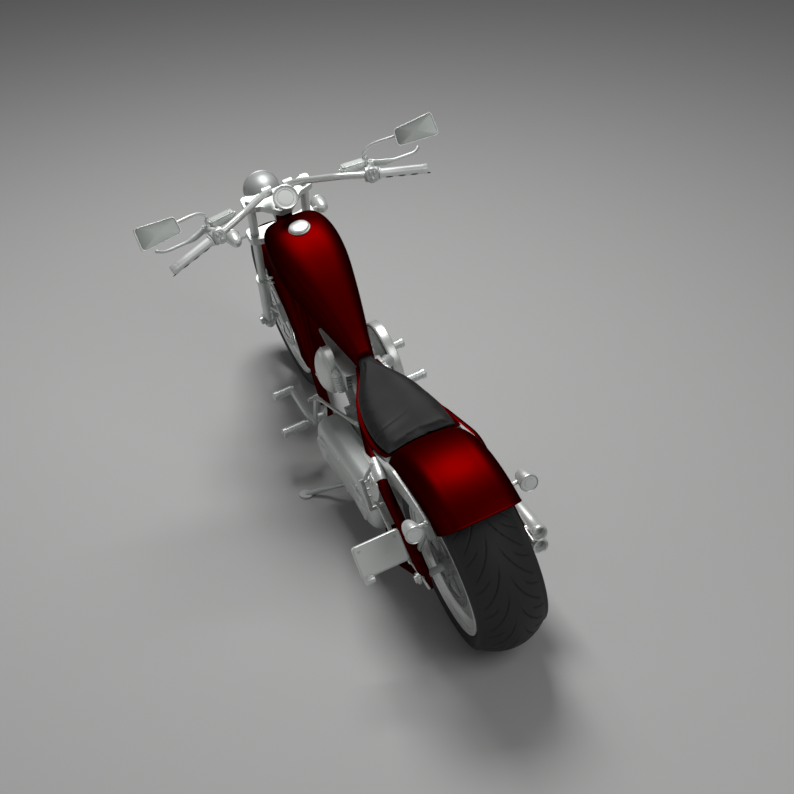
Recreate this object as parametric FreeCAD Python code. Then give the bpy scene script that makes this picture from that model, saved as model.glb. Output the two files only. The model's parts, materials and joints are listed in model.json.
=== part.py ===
import FreeCAD, Part
import json
import math
import os
from FreeCAD import Placement, Rotation
from FreeCAD import Vector as V

# A low chopper motorcycle with a V-twin engine, parked on its side stand.
# It is drawn upright, in millimetres: X forwards from the rear axle, Y to the rider's left, Z up from
# the ground. At the end every piece is leaned over together, as the machine stands when it is parked.

# Driving dimensions
WHEELBASE = 1785.0
REAR_RADIUS = 328.0
REAR_HALF_WIDTH = 121.0
REAR_CROWN = 165.0
REAR_RIM = 229.0
FRONT_RADIUS = 350.0
FRONT_HALF_WIDTH = 50.0
FRONT_CROWN = 60.0
FRONT_RIM = 267.0
RAKE = 28.0
LEG_OFFSET = 55.0
LEG_SPREAD = 107.0
LEAN = 12.0
BAR_RADIUS = 12.7
STAY = 19.0
RAIL_HEIGHT = 118.0
RAIL_SPREAD = 105.0
STAY_SPREAD = 173.0
CRANK = V(870, 0, 275)
CYLINDER_TILT = 22.5
GAP = 0.4

X_AXIS = V(1, 0, 0)
Y_AXIS = V(0, 1, 0)
Z_AXIS = V(0, 0, 1)
ORIGIN = V(0, 0, 0)
REAR_AXLE = V(0, 0, REAR_RADIUS)
FRONT_AXLE = V(WHEELBASE, 0, FRONT_RADIUS)
SIN_RAKE = math.sin(math.radians(RAKE))
COS_RAKE = math.cos(math.radians(RAKE))
UP_FORK = V(-SIN_RAKE, 0, COS_RAKE)
AHEAD_FORK = V(COS_RAKE, 0, SIN_RAKE)
STEER_BASE = FRONT_AXLE - AHEAD_FORK * LEG_OFFSET

nodes = {}


# General shapes

def mirrored(shape):
    """The same piece on the other side of the machine."""
    return shape.mirror(ORIGIN, Y_AXIS)


def flip(point):
    return V(point.x, -point.y, point.z)


def rod(start, end, radius, end_radius=None):
    """A straight round bar between two points, tapered if it has an end radius."""
    length = (end - start).Length
    if end_radius is None or abs(end_radius - radius) < 1e-6:
        return Part.makeCylinder(radius, length, start, end - start)
    return Part.makeCone(radius, end_radius, length, start, end - start)


def bent_path(points, bend):
    """Straight runs joined by tangent arcs of the given radius."""
    edges = []
    last = points[0]
    for before, corner, after in zip(points, points[1:], points[2:]):
        into = (corner - before).normalize()
        out = (after - corner).normalize()
        turn = math.acos(max(-1.0, min(1.0, into.dot(out))))
        cut = bend * math.tan(turn / 2)
        cut = min(cut, 0.48 * (corner - before).Length, 0.48 * (after - corner).Length)
        radius = cut / math.tan(turn / 2)
        first = corner - into * cut
        second = corner + out * cut
        inward = (out - into).normalize()
        middle = corner + inward * (radius / math.cos(turn / 2) - radius)
        if (first - last).Length > 1e-3:
            edges.append(Part.LineSegment(last, first).toShape())
        edges.append(Part.Arc(first, middle, second).toShape())
        last = second
    edges.append(Part.LineSegment(last, points[-1]).toShape())
    return Part.Wire(edges)


def pipe(points, radius, bend):
    """A round tube's outside, bent along the points."""
    path = bent_path(points, bend)
    ring = Part.Circle(points[0], points[1] - points[0], radius).toShape()
    return path.makePipeShell([Part.Wire(ring)], True, False)


def outline(points):
    """A flat face from corner points."""
    return Part.Face(Part.makePolygon(points + [points[0]]))


def rounded_outline(points, radius):
    """A flat face whose corners are rounded."""
    middle = (points[0] + points[-1]) * 0.5
    loop = [middle] + points + [middle]
    return Part.Face(bent_path(loop, radius))


def turned(profile, centre, axis=Y_AXIS, angle=360.0):
    """A turned piece from (along axis, radius) pairs, about the wheel axis through centre."""
    points = [centre + V(radius, along, 0) for along, radius in profile]
    face = Part.Face(Part.makePolygon(points + [points[0]]))
    return face.revolve(centre, axis, angle)


def around(shape, centre, count, axis=Y_AXIS):
    """Copies of a shape at even angles about a wheel axis."""
    copies = []
    for i in range(count):
        copy = shape.copy()
        copy.rotate(centre, axis, 360.0 * i / count)
        copies.append(copy)
    return copies


def fused(shapes):
    whole = shapes[0].multiFuse(shapes[1:]) if len(shapes) > 1 else shapes[0]
    return whole.removeSplitter()


def fork_point(up, side=0.0, ahead=0.0):
    """A point by its distance up the fork from the front axle, to the left, and ahead of the legs."""
    return FRONT_AXLE + UP_FORK * up + V(0, side, 0) + AHEAD_FORK * ahead


def steer_point(up, side=0.0, ahead=0.0):
    return STEER_BASE + UP_FORK * up + V(0, side, 0) + AHEAD_FORK * ahead


# Wheels and tyres

def tyre(centre, radius, half_width, crown, rim_radius, bead_half):
    """A tyre with a round crown, full shoulders and beads that sit on the rim."""
    shoulder_y = 0.86 * half_width
    drop = crown - math.sqrt(crown**2 - shoulder_y**2)
    shoulder_r = radius - drop
    wide_r = rim_radius + 0.42 * (radius - rim_radius)

    def at(y, r):
        return centre + V(r, y, 0)

    crown_arc = Part.Arc(at(-shoulder_y, shoulder_r), at(0, radius), at(shoulder_y, shoulder_r))
    edges = [crown_arc.toShape()]
    for side in (1, -1):
        bulge = Part.BSplineCurve()
        bulge.interpolate([
            at(side * shoulder_y, shoulder_r),
            at(side * 0.975 * half_width, shoulder_r - 0.30 * (shoulder_r - wide_r)),
            at(side * half_width, wide_r),
            at(side * (bead_half + 2), rim_radius + 11),
        ])
        edges.append(bulge.toShape())
        edges.append(Part.LineSegment(
            at(side * (bead_half + 2), rim_radius + 11), at(side * (bead_half - 9), rim_radius + GAP)).toShape())
    edges.append(Part.LineSegment(
        at(bead_half - 9, rim_radius + GAP), at(9 - bead_half, rim_radius + GAP)).toShape())
    face = Part.Face(Part.Wire(Part.__sortEdges__(edges)))
    return face.revolve(centre, Y_AXIS, 360)


def wheel(centre, rim_radius, bead_half, hub_half, hub_radius, spokes, spoke_half):
    """A one-piece alloy wheel: a dished rim, a hub and tapered spokes that fork near the rim."""
    lip = rim_radius + 10
    well = rim_radius - 22
    rim = turned([
        (-bead_half - 3, lip), (-bead_half - 9, lip - 4), (-bead_half - 9, lip - 12),
        (-bead_half + 16, well - 12), (bead_half - 16, well - 12), (bead_half + 9, lip - 12),
        (bead_half + 9, lip - 4), (bead_half + 3, lip), (bead_half - 9, rim_radius),
        (9 - bead_half, rim_radius),
    ], centre)
    hub = turned([(-hub_half, 14), (-hub_half, hub_radius), (hub_half, hub_radius), (hub_half, 14)], centre)
    inner = hub_radius - 6
    outer = well - 8
    spoke = outline([
        centre + V(inner, 0, -26), centre + V(outer, 0, -15), centre + V(outer, 0, 15), centre + V(inner, 0, 26),
    ])
    spoke.translate(V(0, -spoke_half, 0))
    spoke = spoke.extrude(V(0, 2 * spoke_half, 0))
    slot = outline([
        centre + V(inner + 40, 0, 0), centre + V(outer - 12, 0, -7), centre + V(outer - 12, 0, 7),
    ])
    slot.translate(V(0, -spoke_half - 1, 0))
    spoke = spoke.cut(slot.extrude(V(0, 2 * spoke_half + 2, 0)))
    return fused([rim, hub] + around(spoke, centre, spokes))


def disc(centre, side_y, radius, band, thickness, carrier_radius, bore):
    """A drilled brake disc on its carrier."""
    half = thickness / 2
    at = centre + V(0, side_y, 0)
    ring = turned([(-half, radius - band), (-half, radius), (half, radius), (half, radius - band)], at)
    holes = []
    rows = ((radius - 0.26 * band, 0.0), (radius - 0.62 * band, 7.5))
    for row_radius, start in rows:
        hole = Part.makeCylinder(4.2, thickness + 2, at + V(row_radius, -half - 1, 0), Y_AXIS)
        hole.rotate(at, Y_AXIS, start)
        holes += around(hole, at, 24)
    ring = ring.cut(Part.makeCompound(holes))
    arms = outline([
        at + V(carrier_radius - 8, -half, -17), at + V(radius - band + 6, -half, -9),
        at + V(radius - band + 6, -half, 9), at + V(carrier_radius - 8, -half, 17),
    ]).extrude(V(0, thickness, 0))
    ring_in = turned([
        (-half, bore), (-half, carrier_radius), (half, carrier_radius), (half, bore)], at)
    return fused([ring, ring_in] + around(arms, at, 5))


REAR_BEAD = 106.0
FRONT_BEAD = 38.0
REAR_HUB_HALF = 82.0
FRONT_HUB_HALF = 47.0
nodes["rear_tyre"] = tyre(REAR_AXLE, REAR_RADIUS, REAR_HALF_WIDTH, REAR_CROWN, REAR_RIM, REAR_BEAD)
nodes["rear_wheel"] = wheel(REAR_AXLE, REAR_RIM, REAR_BEAD, REAR_HUB_HALF, 44, 5, 26)
nodes["front_tyre"] = tyre(
    FRONT_AXLE, FRONT_RADIUS, FRONT_HALF_WIDTH, FRONT_CROWN, FRONT_RIM, FRONT_BEAD)
nodes["front_wheel"] = wheel(FRONT_AXLE, FRONT_RIM, FRONT_BEAD, FRONT_HUB_HALF, 36, 5, 17)
DISC_Y = 60.0
nodes["front_disc"] = disc(FRONT_AXLE, DISC_Y, 146, 34, 5, 52, 20)
carrier = turned([
    (FRONT_HUB_HALF, 14), (FRONT_HUB_HALF, 34), (DISC_Y + 6, 34), (DISC_Y + 6, 14)], FRONT_AXLE)
nodes["front_disc"] = fused([nodes["front_disc"], carrier])
REAR_DISC_Y = 98.0
nodes["rear_disc"] = fused([
    disc(REAR_AXLE, REAR_DISC_Y, 146, 34, 6, 52, 20),
    turned([(REAR_HUB_HALF, 14), (REAR_HUB_HALF, 34), (REAR_DISC_Y + 12, 34), (REAR_DISC_Y + 12, 14)], REAR_AXLE),
])
PULLEY_Y = -137.0
PULLEY_RADIUS = 118.0
PULLEY_HALF = 9.0
GEARBOX_SHAFT = V(470, 0, 300)
GEARBOX_PULLEY_RADIUS = 46.0
BELT_THICKNESS = 5.0


def belt_pulley(centre, radius, teeth, bore, holes):
    """A toothed belt pulley with thin side flanges and lightening holes."""
    at = centre + V(0, PULLEY_Y, 0)
    body = turned([
        (-PULLEY_HALF - 2, bore), (-PULLEY_HALF - 2, radius + 3), (-PULLEY_HALF, radius + 3),
        (-PULLEY_HALF, radius - 3), (PULLEY_HALF, radius - 3), (PULLEY_HALF, radius + 3),
        (PULLEY_HALF + 2, radius + 3), (PULLEY_HALF + 2, bore)], at)
    tooth = Part.makeBox(4, 2 * PULLEY_HALF, 4, at + V(radius - 4 - GAP, -PULLEY_HALF, -2))
    body = fused([body] + around(tooth, at, teeth))
    if holes:
        hole = Part.makeCylinder(15, 2 * PULLEY_HALF + 6, at + V(0.63 * radius, -PULLEY_HALF - 3, 0), Y_AXIS)
        body = body.cut(Part.makeCompound(around(hole, at, holes)))
    return body


nodes["rear_pulley"] = fused([
    belt_pulley(REAR_AXLE, PULLEY_RADIUS, 36, 14, 8),
    turned([(-REAR_HUB_HALF, 14), (-REAR_HUB_HALF, 34), (PULLEY_Y + PULLEY_HALF + 2, 34),
            (PULLEY_Y + PULLEY_HALF + 2, 14)], REAR_AXLE),
])


def belt():
    """The toothed belt as one closed loop round both pulleys."""
    rear = REAR_AXLE + V(0, PULLEY_Y, 0)
    front = GEARBOX_SHAFT + V(0, PULLEY_Y, 0)
    between = front - rear
    slope = math.atan2(between.z, between.x)
    wrap = math.asin((PULLEY_RADIUS - GEARBOX_PULLEY_RADIUS) / between.Length)

    def loop(grow):
        big = PULLEY_RADIUS + grow
        small = GEARBOX_PULLEY_RADIUS + grow
        up = slope + math.pi / 2 - wrap
        down = slope - math.pi / 2 + wrap

        def on(centre, radius, angle):
            return centre + V(radius * math.cos(angle), 0, radius * math.sin(angle))
        edges = [
            Part.LineSegment(on(rear, big, up), on(front, small, up)).toShape(),
            Part.Arc(on(front, small, up), on(front, small, slope), on(front, small, down)).toShape(),
            Part.LineSegment(on(front, small, down), on(rear, big, down)).toShape(),
            Part.Arc(on(rear, big, down), on(rear, big, slope + math.pi), on(rear, big, up)).toShape(),
        ]
        return Part.Face(Part.Wire(edges))
    band = loop(BELT_THICKNESS).cut(loop(GAP))
    band.translate(V(0, -PULLEY_HALF + 1, 0))
    return band.extrude(V(0, 2 * PULLEY_HALF - 2, 0))


nodes["drive_belt"] = belt()
gearbox_pulley = belt_pulley(GEARBOX_SHAFT, GEARBOX_PULLEY_RADIUS, 14, 10, 0)

# Front end

UP_LOWER = 600.0
UP_UPPER = 806.0
CLAMP_HALF = 16.0
STANCHION = 16.5
SLIDER = 23.0
SLIDER_TOP = 300.0
SLIDER_FOOT = -40.0
FOOT_OUT = 26.0


def fork_leg(side):
    """A telescopic leg: a bright upper tube in a slider whose foot holds the axle."""
    y = side * LEG_SPREAD
    upper = rod(fork_point(SLIDER_TOP - 60, y), fork_point(UP_UPPER + CLAMP_HALF + 8, y), STANCHION)
    cap = rod(fork_point(UP_UPPER + CLAMP_HALF + 8, y), fork_point(UP_UPPER + CLAMP_HALF + 15, y), 14)
    slider = rod(fork_point(SLIDER_FOOT, y), fork_point(SLIDER_TOP, y), SLIDER)
    collar = rod(fork_point(SLIDER_TOP - 22, y), fork_point(SLIDER_TOP + 4, y), SLIDER + 3)
    taper = rod(fork_point(SLIDER_FOOT - 18, y), fork_point(SLIDER_FOOT, y), SLIDER - 9, SLIDER)
    foot = rod(FRONT_AXLE + V(0, y - side * 24, 0), FRONT_AXLE + V(0, y + side * FOOT_OUT, 0), 24)
    leg = fused([upper, cap, slider, collar, taper, foot])
    bore = rod(FRONT_AXLE + V(0, -200, 0), FRONT_AXLE + V(0, 200, 0), 11)
    return leg.cut(bore)


AXLE_NUT = LEG_SPREAD + FOOT_OUT
nodes["fork_legs"] = Part.makeCompound([fork_leg(1), fork_leg(-1)])
nodes["front_axle"] = fused([
    rod(FRONT_AXLE + V(0, -AXLE_NUT - 5, 0), FRONT_AXLE + V(0, AXLE_NUT + 5, 0), 10.5),
    rod(FRONT_AXLE + V(0, AXLE_NUT + GAP, 0), FRONT_AXLE + V(0, AXLE_NUT + 13, 0), 17),
    rod(FRONT_AXLE + V(0, -AXLE_NUT - GAP, 0), FRONT_AXLE + V(0, -AXLE_NUT - 13, 0), 17),
])
CLAMP_OUTLINE = [(-90, 20), (-38, 80), (-25, 135), (33, 135), (17, 81), (15, 0)]


def clamp_plate(up, thickness_half):
    """A fork clamp: a winged plate, waisted behind, that closes round both legs."""
    centre = fork_point(up)
    left = [centre + AHEAD_FORK * ahead + V(0, side, 0) for ahead, side in CLAMP_OUTLINE]
    right = [centre + AHEAD_FORK * ahead - V(0, side, 0) for ahead, side in reversed(CLAMP_OUTLINE)]
    face = rounded_outline(left + right[1:], 14)
    face.translate(UP_FORK * -thickness_half)
    plate = face.extrude(UP_FORK * 2 * thickness_half)
    for side in (1, -1):
        y = side * LEG_SPREAD
        plate = plate.cut(rod(fork_point(up - 40, y), fork_point(up + 40, y), STANCHION + GAP))
    return plate


STEM = 13.0
LOWER_CLAMP_HALF = 19.0
nodes["upper_clamp"] = clamp_plate(UP_UPPER, CLAMP_HALF).cut(
    rod(steer_point(UP_UPPER - 40), steer_point(UP_UPPER + 40), STEM + GAP))
nodes["lower_clamp"] = fused([
    clamp_plate(UP_LOWER, LOWER_CLAMP_HALF),
    rod(steer_point(UP_LOWER - 24), steer_point(UP_UPPER + 24), STEM),
    rod(steer_point(UP_UPPER + CLAMP_HALF + GAP), steer_point(UP_UPPER + 30), 19),
    rod(steer_point(UP_LOWER - 32), steer_point(UP_LOWER - 10), 19),
])
upper_cutter = clamp_plate(UP_UPPER, CLAMP_HALF + GAP)
lower_cutter = clamp_plate(UP_LOWER, LOWER_CLAMP_HALF + GAP)

BAR_POINTS = [
    V(1360, 0, 1106), V(1360, 42, 1106), V(1293, 86, 1128), V(1171, 186, 1155), V(1144, 262, 1140),
    V(1094, 483, 1096),
]


def handlebar():
    """A pulled-back bar, bent from one tube and held in two risers on the upper clamp."""
    right = [flip(p) for p in reversed(BAR_POINTS[1:])]
    bar = pipe(right + BAR_POINTS[1:], BAR_RADIUS, 60)
    pieces = [bar]
    for side in (1, -1):
        base = fork_point(UP_UPPER + CLAMP_HALF, side * 42, -16)
        top = V(BAR_POINTS[0].x, side * 42, BAR_POINTS[0].z)
        pieces.append(rod(base, top, 17, 15))
        pieces.append(rod(top - V(0, 17, 0), top + V(0, 17, 0), 20))
    return fused(pieces).cut(upper_cutter)


nodes["handlebar"] = handlebar()
GRIP_END = BAR_POINTS[5]
GRIP_LINE = (BAR_POINTS[5] - BAR_POINTS[4]).normalize()
SWITCH_AT = BAR_POINTS[4] + GRIP_LINE * 35
GRIP_START = BAR_POINTS[4] + GRIP_LINE * 62


def hand_grip():
    """A ribbed grip with a flared inner flange and an end cap."""
    start = GRIP_START
    flange = rod(start, start + GRIP_LINE * 5, 22)
    body = rod(start + GRIP_LINE * 5, GRIP_END - GRIP_LINE * 8, 16.5)
    cap = rod(GRIP_END - GRIP_LINE * 8, GRIP_END + GRIP_LINE * 7, 18.5)
    rings = []
    length = (GRIP_END - start).Length
    for i in range(5):
        at = start + GRIP_LINE * (18 + i * (length - 40) / 4)
        rings.append(rod(at, at + GRIP_LINE * 10, 18))
    grip = fused([flange, body, cap] + rings)
    return grip.cut(rod(start - GRIP_LINE * 5, GRIP_END, BAR_RADIUS + GAP))


grip = hand_grip()
nodes["grips"] = Part.makeCompound([grip, mirrored(grip)])

LEVER_PIVOT = V(1203, 322, 1140)
LEVER_TIP = V(1202, 500, 1120)
RESERVOIR_INNER = V(1200, 196, 1164)
RESERVOIR_OUTER = V(1196, 296, 1156)


def control():
    """A switch housing round the bar with the fluid reservoir, lever and pivot ahead of it."""
    housing = rod(SWITCH_AT - GRIP_LINE * 24, SWITCH_AT + GRIP_LINE * 24, 27)
    along = (RESERVOIR_OUTER - RESERVOIR_INNER).normalize()
    across = along.cross(Z_AXIS).normalize()
    up = across.cross(along).normalize()
    corners = []
    for a, c in ((0, -17), (0, 17), (1, 17), (1, -17)):
        corners.append(RESERVOIR_INNER + along * (a * (RESERVOIR_OUTER - RESERVOIR_INNER).Length)
                       + across * c - up * 16)
    tank = rounded_outline(corners, 8).extrude(up * 30)
    neck = rod(SWITCH_AT + V(6, -10, 4), LEVER_PIVOT, 17, 11)
    pivot = rod(LEVER_PIVOT - up * 13, LEVER_PIVOT + up * 13, 12)
    body = fused([housing, tank, neck, pivot])
    return body.cut(rod(SWITCH_AT - GRIP_LINE * 60, SWITCH_AT + GRIP_LINE * 60, BAR_RADIUS + GAP))


def lever():
    """A hand lever that runs ahead of the grip to a turned-out ball end."""
    root = LEVER_PIVOT + V(0, 8, 0)
    path = [root, LEVER_PIVOT + V(-4, 42, -4), LEVER_TIP + V(-3, -30, 3), LEVER_TIP + V(14, 4, 0)]
    arm = pipe(path, 5, 30)
    ball = Part.makeSphere(7, path[-1])
    return fused([arm, ball])


hand_control = fused([control(), lever()])
nodes["hand_controls"] = Part.makeCompound([hand_control, mirrored(hand_control)])

MIRROR_CORNERS = [V(1135, 563, 1278), V(1094, 563, 1202), V(1116, 408, 1206), V(1147, 414, 1260)]
MIRROR_STEM = [V(1201, 304, 1166), V(1201, 306, 1192), V(1190, 340, 1214), V(1144, 424, 1234)]


def mirror():
    """A tapered mirror head on a bent stem; the glass sits in a shallow lip."""
    a, b, c, d = MIRROR_CORNERS
    normal = (c - a).cross(d - b).normalize()
    if normal.x > 0:
        normal = normal * -1
    centre = (a + b + c + d) * 0.25
    flat = [p - normal * (p - centre).dot(normal) for p in MIRROR_CORNERS]
    face = rounded_outline(flat, 18)
    head = face.extrude(normal * -16)
    inset = [centre + (p - centre) * 0.90 for p in flat]
    glass_cut = rounded_outline(inset, 14).extrude(normal * -2.5)
    head = head.cut(glass_cut)
    stem = pipe(MIRROR_STEM[:3] + [MIRROR_STEM[3] - normal * 9], 6, 24)
    return fused([head, stem])


mirror_left = mirror().cut(hand_control)
nodes["mirrors"] = Part.makeCompound([mirror_left, mirrored(mirror_left)])

GAUGE_AT = V(1266, 0, 1108)
GAUGE_FACE = V(-0.72, 0, 0.69).normalize()


def gauge():
    """A round speedometer in a cup, on a bracket from the handlebar."""
    back = GAUGE_AT - GAUGE_FACE * 46
    cup = rod(back, GAUGE_AT, 34, 44)
    rim = rod(GAUGE_AT - GAUGE_FACE * 8, GAUGE_AT + GAUGE_FACE * 3, 46)
    well = rod(GAUGE_AT - GAUGE_FACE * 2, GAUGE_AT + GAUGE_FACE * 6, 40)
    arm = rod(back + GAUGE_FACE * 8, V(BAR_POINTS[0].x - 14, 0, BAR_POINTS[0].z - 2), 11)
    body = fused([cup, rim, arm]).cut(well)
    return body.cut(rod(BAR_POINTS[0] - V(0, 90, 0), BAR_POINTS[0] + V(0, 90, 0), BAR_RADIUS + 4))


nodes["gauge"] = gauge()

HEADLIGHT_AT = V(1635, 0, 976)
HEADLIGHT_RADIUS = 67.0
BEAM = V(0.985, 0, -0.17).normalize()
LENS_AT = HEADLIGHT_AT + BEAM * 46


def headlight():
    """A bullet headlight: a domed shell, a rim and a yoke to the lower clamp."""
    rear = Part.BSplineCurve()
    rear.interpolate([V(-80, 0, 0), V(-70, 24, 0), V(-46, 49, 0), V(-14, 64, 0), V(20, HEADLIGHT_RADIUS, 0)])
    front = Part.makePolygon([V(20, HEADLIGHT_RADIUS, 0), V(36, HEADLIGHT_RADIUS, 0), V(36, 0, 0), V(-80, 0, 0)])
    shell = Part.Face(Part.Wire([rear.toShape()] + front.Edges)).revolve(ORIGIN, X_AXIS, 360)
    shell.Placement = Placement(HEADLIGHT_AT, Rotation(X_AXIS, BEAM))
    rim = rod(HEADLIGHT_AT + BEAM * 28, LENS_AT - BEAM * GAP, HEADLIGHT_RADIUS + 3)
    yoke = rod(fork_point(UP_LOWER + 60, 0, 4), HEADLIGHT_AT - BEAM * 40, 16)
    foot = rod(fork_point(UP_LOWER + LOWER_CLAMP_HALF + GAP, 0, -4), fork_point(UP_LOWER + 72, 0, -4), 16)
    return fused([shell, rim, yoke, foot])


nodes["headlight"] = headlight()
nodes["headlight_lens"] = rod(LENS_AT, LENS_AT + BEAM * 6, HEADLIGHT_RADIUS - 2, HEADLIGHT_RADIUS - 12)


def signal_body(centre, back_dir, stalk_end):
    """A bullet indicator: a pointed shell, a lens ring and a short stalk."""
    lens = centre + back_dir * 34
    shell = [
        rod(lens, centre + back_dir * 4, 28, 27),
        rod(centre + back_dir * 4, centre - back_dir * 26, 27, 20),
        rod(centre - back_dir * 26, centre - back_dir * 42, 20, 8),
    ]
    rim = rod(lens - back_dir * 4, lens + back_dir * 5, 30)
    well = rod(lens + back_dir * 1, lens + back_dir * 8, 25)
    stalk = rod(centre, stalk_end, 7)
    return fused(shell + [rim, stalk]).cut(well)


FRONT_SIGNAL = V(1552, 190, 868)
front_left = signal_body(FRONT_SIGNAL, V(1, 0, 0), fork_point(UP_LOWER, 131, 14)).cut(lower_cutter)
nodes["front_signals"] = Part.makeCompound([front_left, mirrored(front_left)])
STRUT_OUT = 146.0


def fender(centre, outer, half, skirt, corner, start, end, sheet=4.0):
    """A pressed fender: a flat crown, round shoulders and side skirts, swept round the wheel."""
    def arch(grow):
        h = half - grow
        top = outer - grow
        low = skirt
        c = corner - grow
        points = [(-h, low), (-h, top - c), (-h + c, top), (h - c, top), (h, top - c), (h, low)]
        p = [centre + V(r, y, 0) for y, r in points]
        mid = c * (1 - math.sqrt(0.5))
        left = centre + V(top - mid, -h + mid, 0)
        right = centre + V(top - mid, h - mid, 0)
        crown = centre + V(top + 5, 0, 0)
        edges = [
            Part.LineSegment(p[0], p[1]).toShape(), Part.Arc(p[1], left, p[2]).toShape(),
            Part.Arc(p[2], crown, p[3]).toShape(), Part.Arc(p[3], right, p[4]).toShape(),
            Part.LineSegment(p[4], p[5]).toShape(), Part.LineSegment(p[5], p[0]).toShape(),
        ]
        return Part.Face(Part.Wire(edges))
    section = arch(0).cut(arch(sheet)) if sheet else arch(-GAP)
    section.rotate(centre, Y_AXIS, -start)
    return section.revolve(centre, Y_AXIS, start - end)


REAR_FENDER = 404.0
FENDER_HALF = 136.0
FENDER_SKIRT = 300.0
FENDER_FRONT = 43.0
FENDER_BACK = 127.0
FENDER_CORNER = 60.0
FRONT_FENDER_HALF = 78.0
rear_arch = (REAR_AXLE, REAR_FENDER, FENDER_HALF, FENDER_SKIRT, FENDER_CORNER, FENDER_FRONT, FENDER_BACK)
fender_shell = fender(*rear_arch)
fender_block = fender(*rear_arch, sheet=0)
end_cut = outline([V(-148, 0, 591), V(-300, 0, 702.5), V(-500, 0, 702.5), V(-500, 0, 400), V(-148, 0, 400)])
end_cut.translate(V(0, -200, 0))
fender_shell = fender_shell.cut(end_cut.extrude(V(0, 400, 0)))
nodes["front_fender"] = fender(FRONT_AXLE, 384, FRONT_FENDER_HALF, 292, 34, 62, 188)


def fender_bracket(side):
    """A short forked bracket from the slider's collar to the front fender's side."""
    root = fork_point(SLIDER_TOP - 10, side * (LEG_SPREAD - SLIDER), 0)
    arms = []
    for ahead in (-26, 26):
        arms.append(rod(root, fork_point(SLIDER_TOP + 14, side * (FRONT_FENDER_HALF + GAP), ahead), 4))
    return arms


legs = [fused([fork_leg(side)] + fender_bracket(side)) for side in (1, -1)]
nodes["fork_legs"] = Part.makeCompound(legs).cut(nodes["front_fender"])


def caliper(centre, disc_y, disc_radius, angle, half_long, arm_end):
    """A brake caliper that straddles the disc, with an arm to what carries it."""
    at = centre + V(0, disc_y, 0)
    block = Part.makeBox(52, 46, 2 * half_long, at + V(disc_radius - 40, -23, -half_long))
    edges = [e for e in block.Edges if e.BoundBox.YLength > 40 and e.CenterOfMass.x > at.x + disc_radius]
    block = block.makeFillet(16, edges)
    throat = Part.makeBox(48, 9, 2 * half_long + 2, at + V(disc_radius - 41, -4.5, -half_long - 1))
    body = block.cut(throat)
    body.rotate(centre, Y_AXIS, -angle)
    root = V(disc_radius - 8, 12, 0)
    root = at + V(root.x * math.cos(math.radians(angle)), root.y, root.x * math.sin(math.radians(angle)))
    return fused([body, rod(root, arm_end, 9)])


nodes["front_caliper"] = caliper(
    FRONT_AXLE, DISC_Y, 146, 150, 40, fork_point(96, LEG_SPREAD - 6)).cut(fork_leg(1))

# Frame

NECK_LOW = UP_LOWER + 24
NECK_HIGH = UP_UPPER - 21
neck = rod(steer_point(NECK_LOW), steer_point(NECK_HIGH), 31)
BACKBONE = [steer_point(UP_UPPER - 70, 0, -20), V(1240, 0, 896), V(760, 0, 640), V(650, 0, 572)]
backbone = pipe(BACKBONE, 24, 120)
neck_bore = rod(steer_point(NECK_LOW - 5), steer_point(NECK_HIGH + 5), STEM + 2)
nodes["backbone"] = fused([neck, backbone]).cut(neck_bore)


def cradle(side):
    """A tube that drops from the neck, turns back under the engine and rises behind the gearbox."""
    s = side
    return [
        V(1398, s * 22, 905), V(1215, s * 92, 420), V(1172, s * RAIL_SPREAD, RAIL_HEIGHT),
        V(640, s * RAIL_SPREAD, RAIL_HEIGHT), V(420, s * 150, 140), V(290, s * STAY_SPREAD, 165),
        V(0, s * STAY_SPREAD, REAR_RADIUS),
    ]


def upper_stay(side):
    """A tube that leaves the backbone, runs under the seat's edge and falls to the rear axle."""
    s = side
    return [
        V(680, s * 14, 588), V(600, s * 95, 575), V(420, s * 140, 572), V(240, s * STAY_SPREAD, 562),
        V(0, s * STAY_SPREAD, REAR_RADIUS),
    ]


AXLE_PLATE_HALF = 6.0


def axle_plate(side):
    """The plate where both stays meet, slotted for the axle."""
    y = side * STAY_SPREAD
    points = [V(70, 0, 400), V(110, 0, 300), V(40, 0, 272), V(-42, 0, 296), V(-46, 0, 352), V(10, 0, 382)]
    face = rounded_outline([p + V(0, y - AXLE_PLATE_HALF, 0) for p in points], 16)
    plate = face.extrude(V(0, 2 * AXLE_PLATE_HALF, 0))
    return plate


def frame_side(side):
    tubes = [pipe(cradle(side), STAY, 110), pipe(upper_stay(side), STAY, 110), axle_plate(side)]
    body = fused(tubes)
    bore = rod(REAR_AXLE + V(0, -300, 0), REAR_AXLE + V(0, 300, 0), 13)
    return body.cut(bore)


nodes["frame_left"] = frame_side(1).cut(nodes["backbone"])
nodes["frame_right"] = frame_side(-1).cut(nodes["backbone"])
nodes["rear_caliper"] = caliper(
    REAR_AXLE, REAR_DISC_Y, 146, 62, 44, V(52, STAY_SPREAD, 372)).cut(nodes["frame_left"])
AXLE_OUT = STAY_SPREAD + 36
nodes["rear_axle"] = fused([
    rod(REAR_AXLE + V(0, -STAY_SPREAD - 23, 0), REAR_AXLE + V(0, AXLE_OUT, 0), 12.5),
    rod(REAR_AXLE + V(0, STAY_SPREAD + STAY + GAP, 0), REAR_AXLE + V(0, STAY_SPREAD + STAY + 9, 0), 20),
])

# Tank and seat


WIDE_SHARE = 0.36
SECTION_POINTS = 20
UPPER_FULLNESS = (0.56, 0.45)
LOWER_FULLNESS = (0.72, 0.94)


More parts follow.
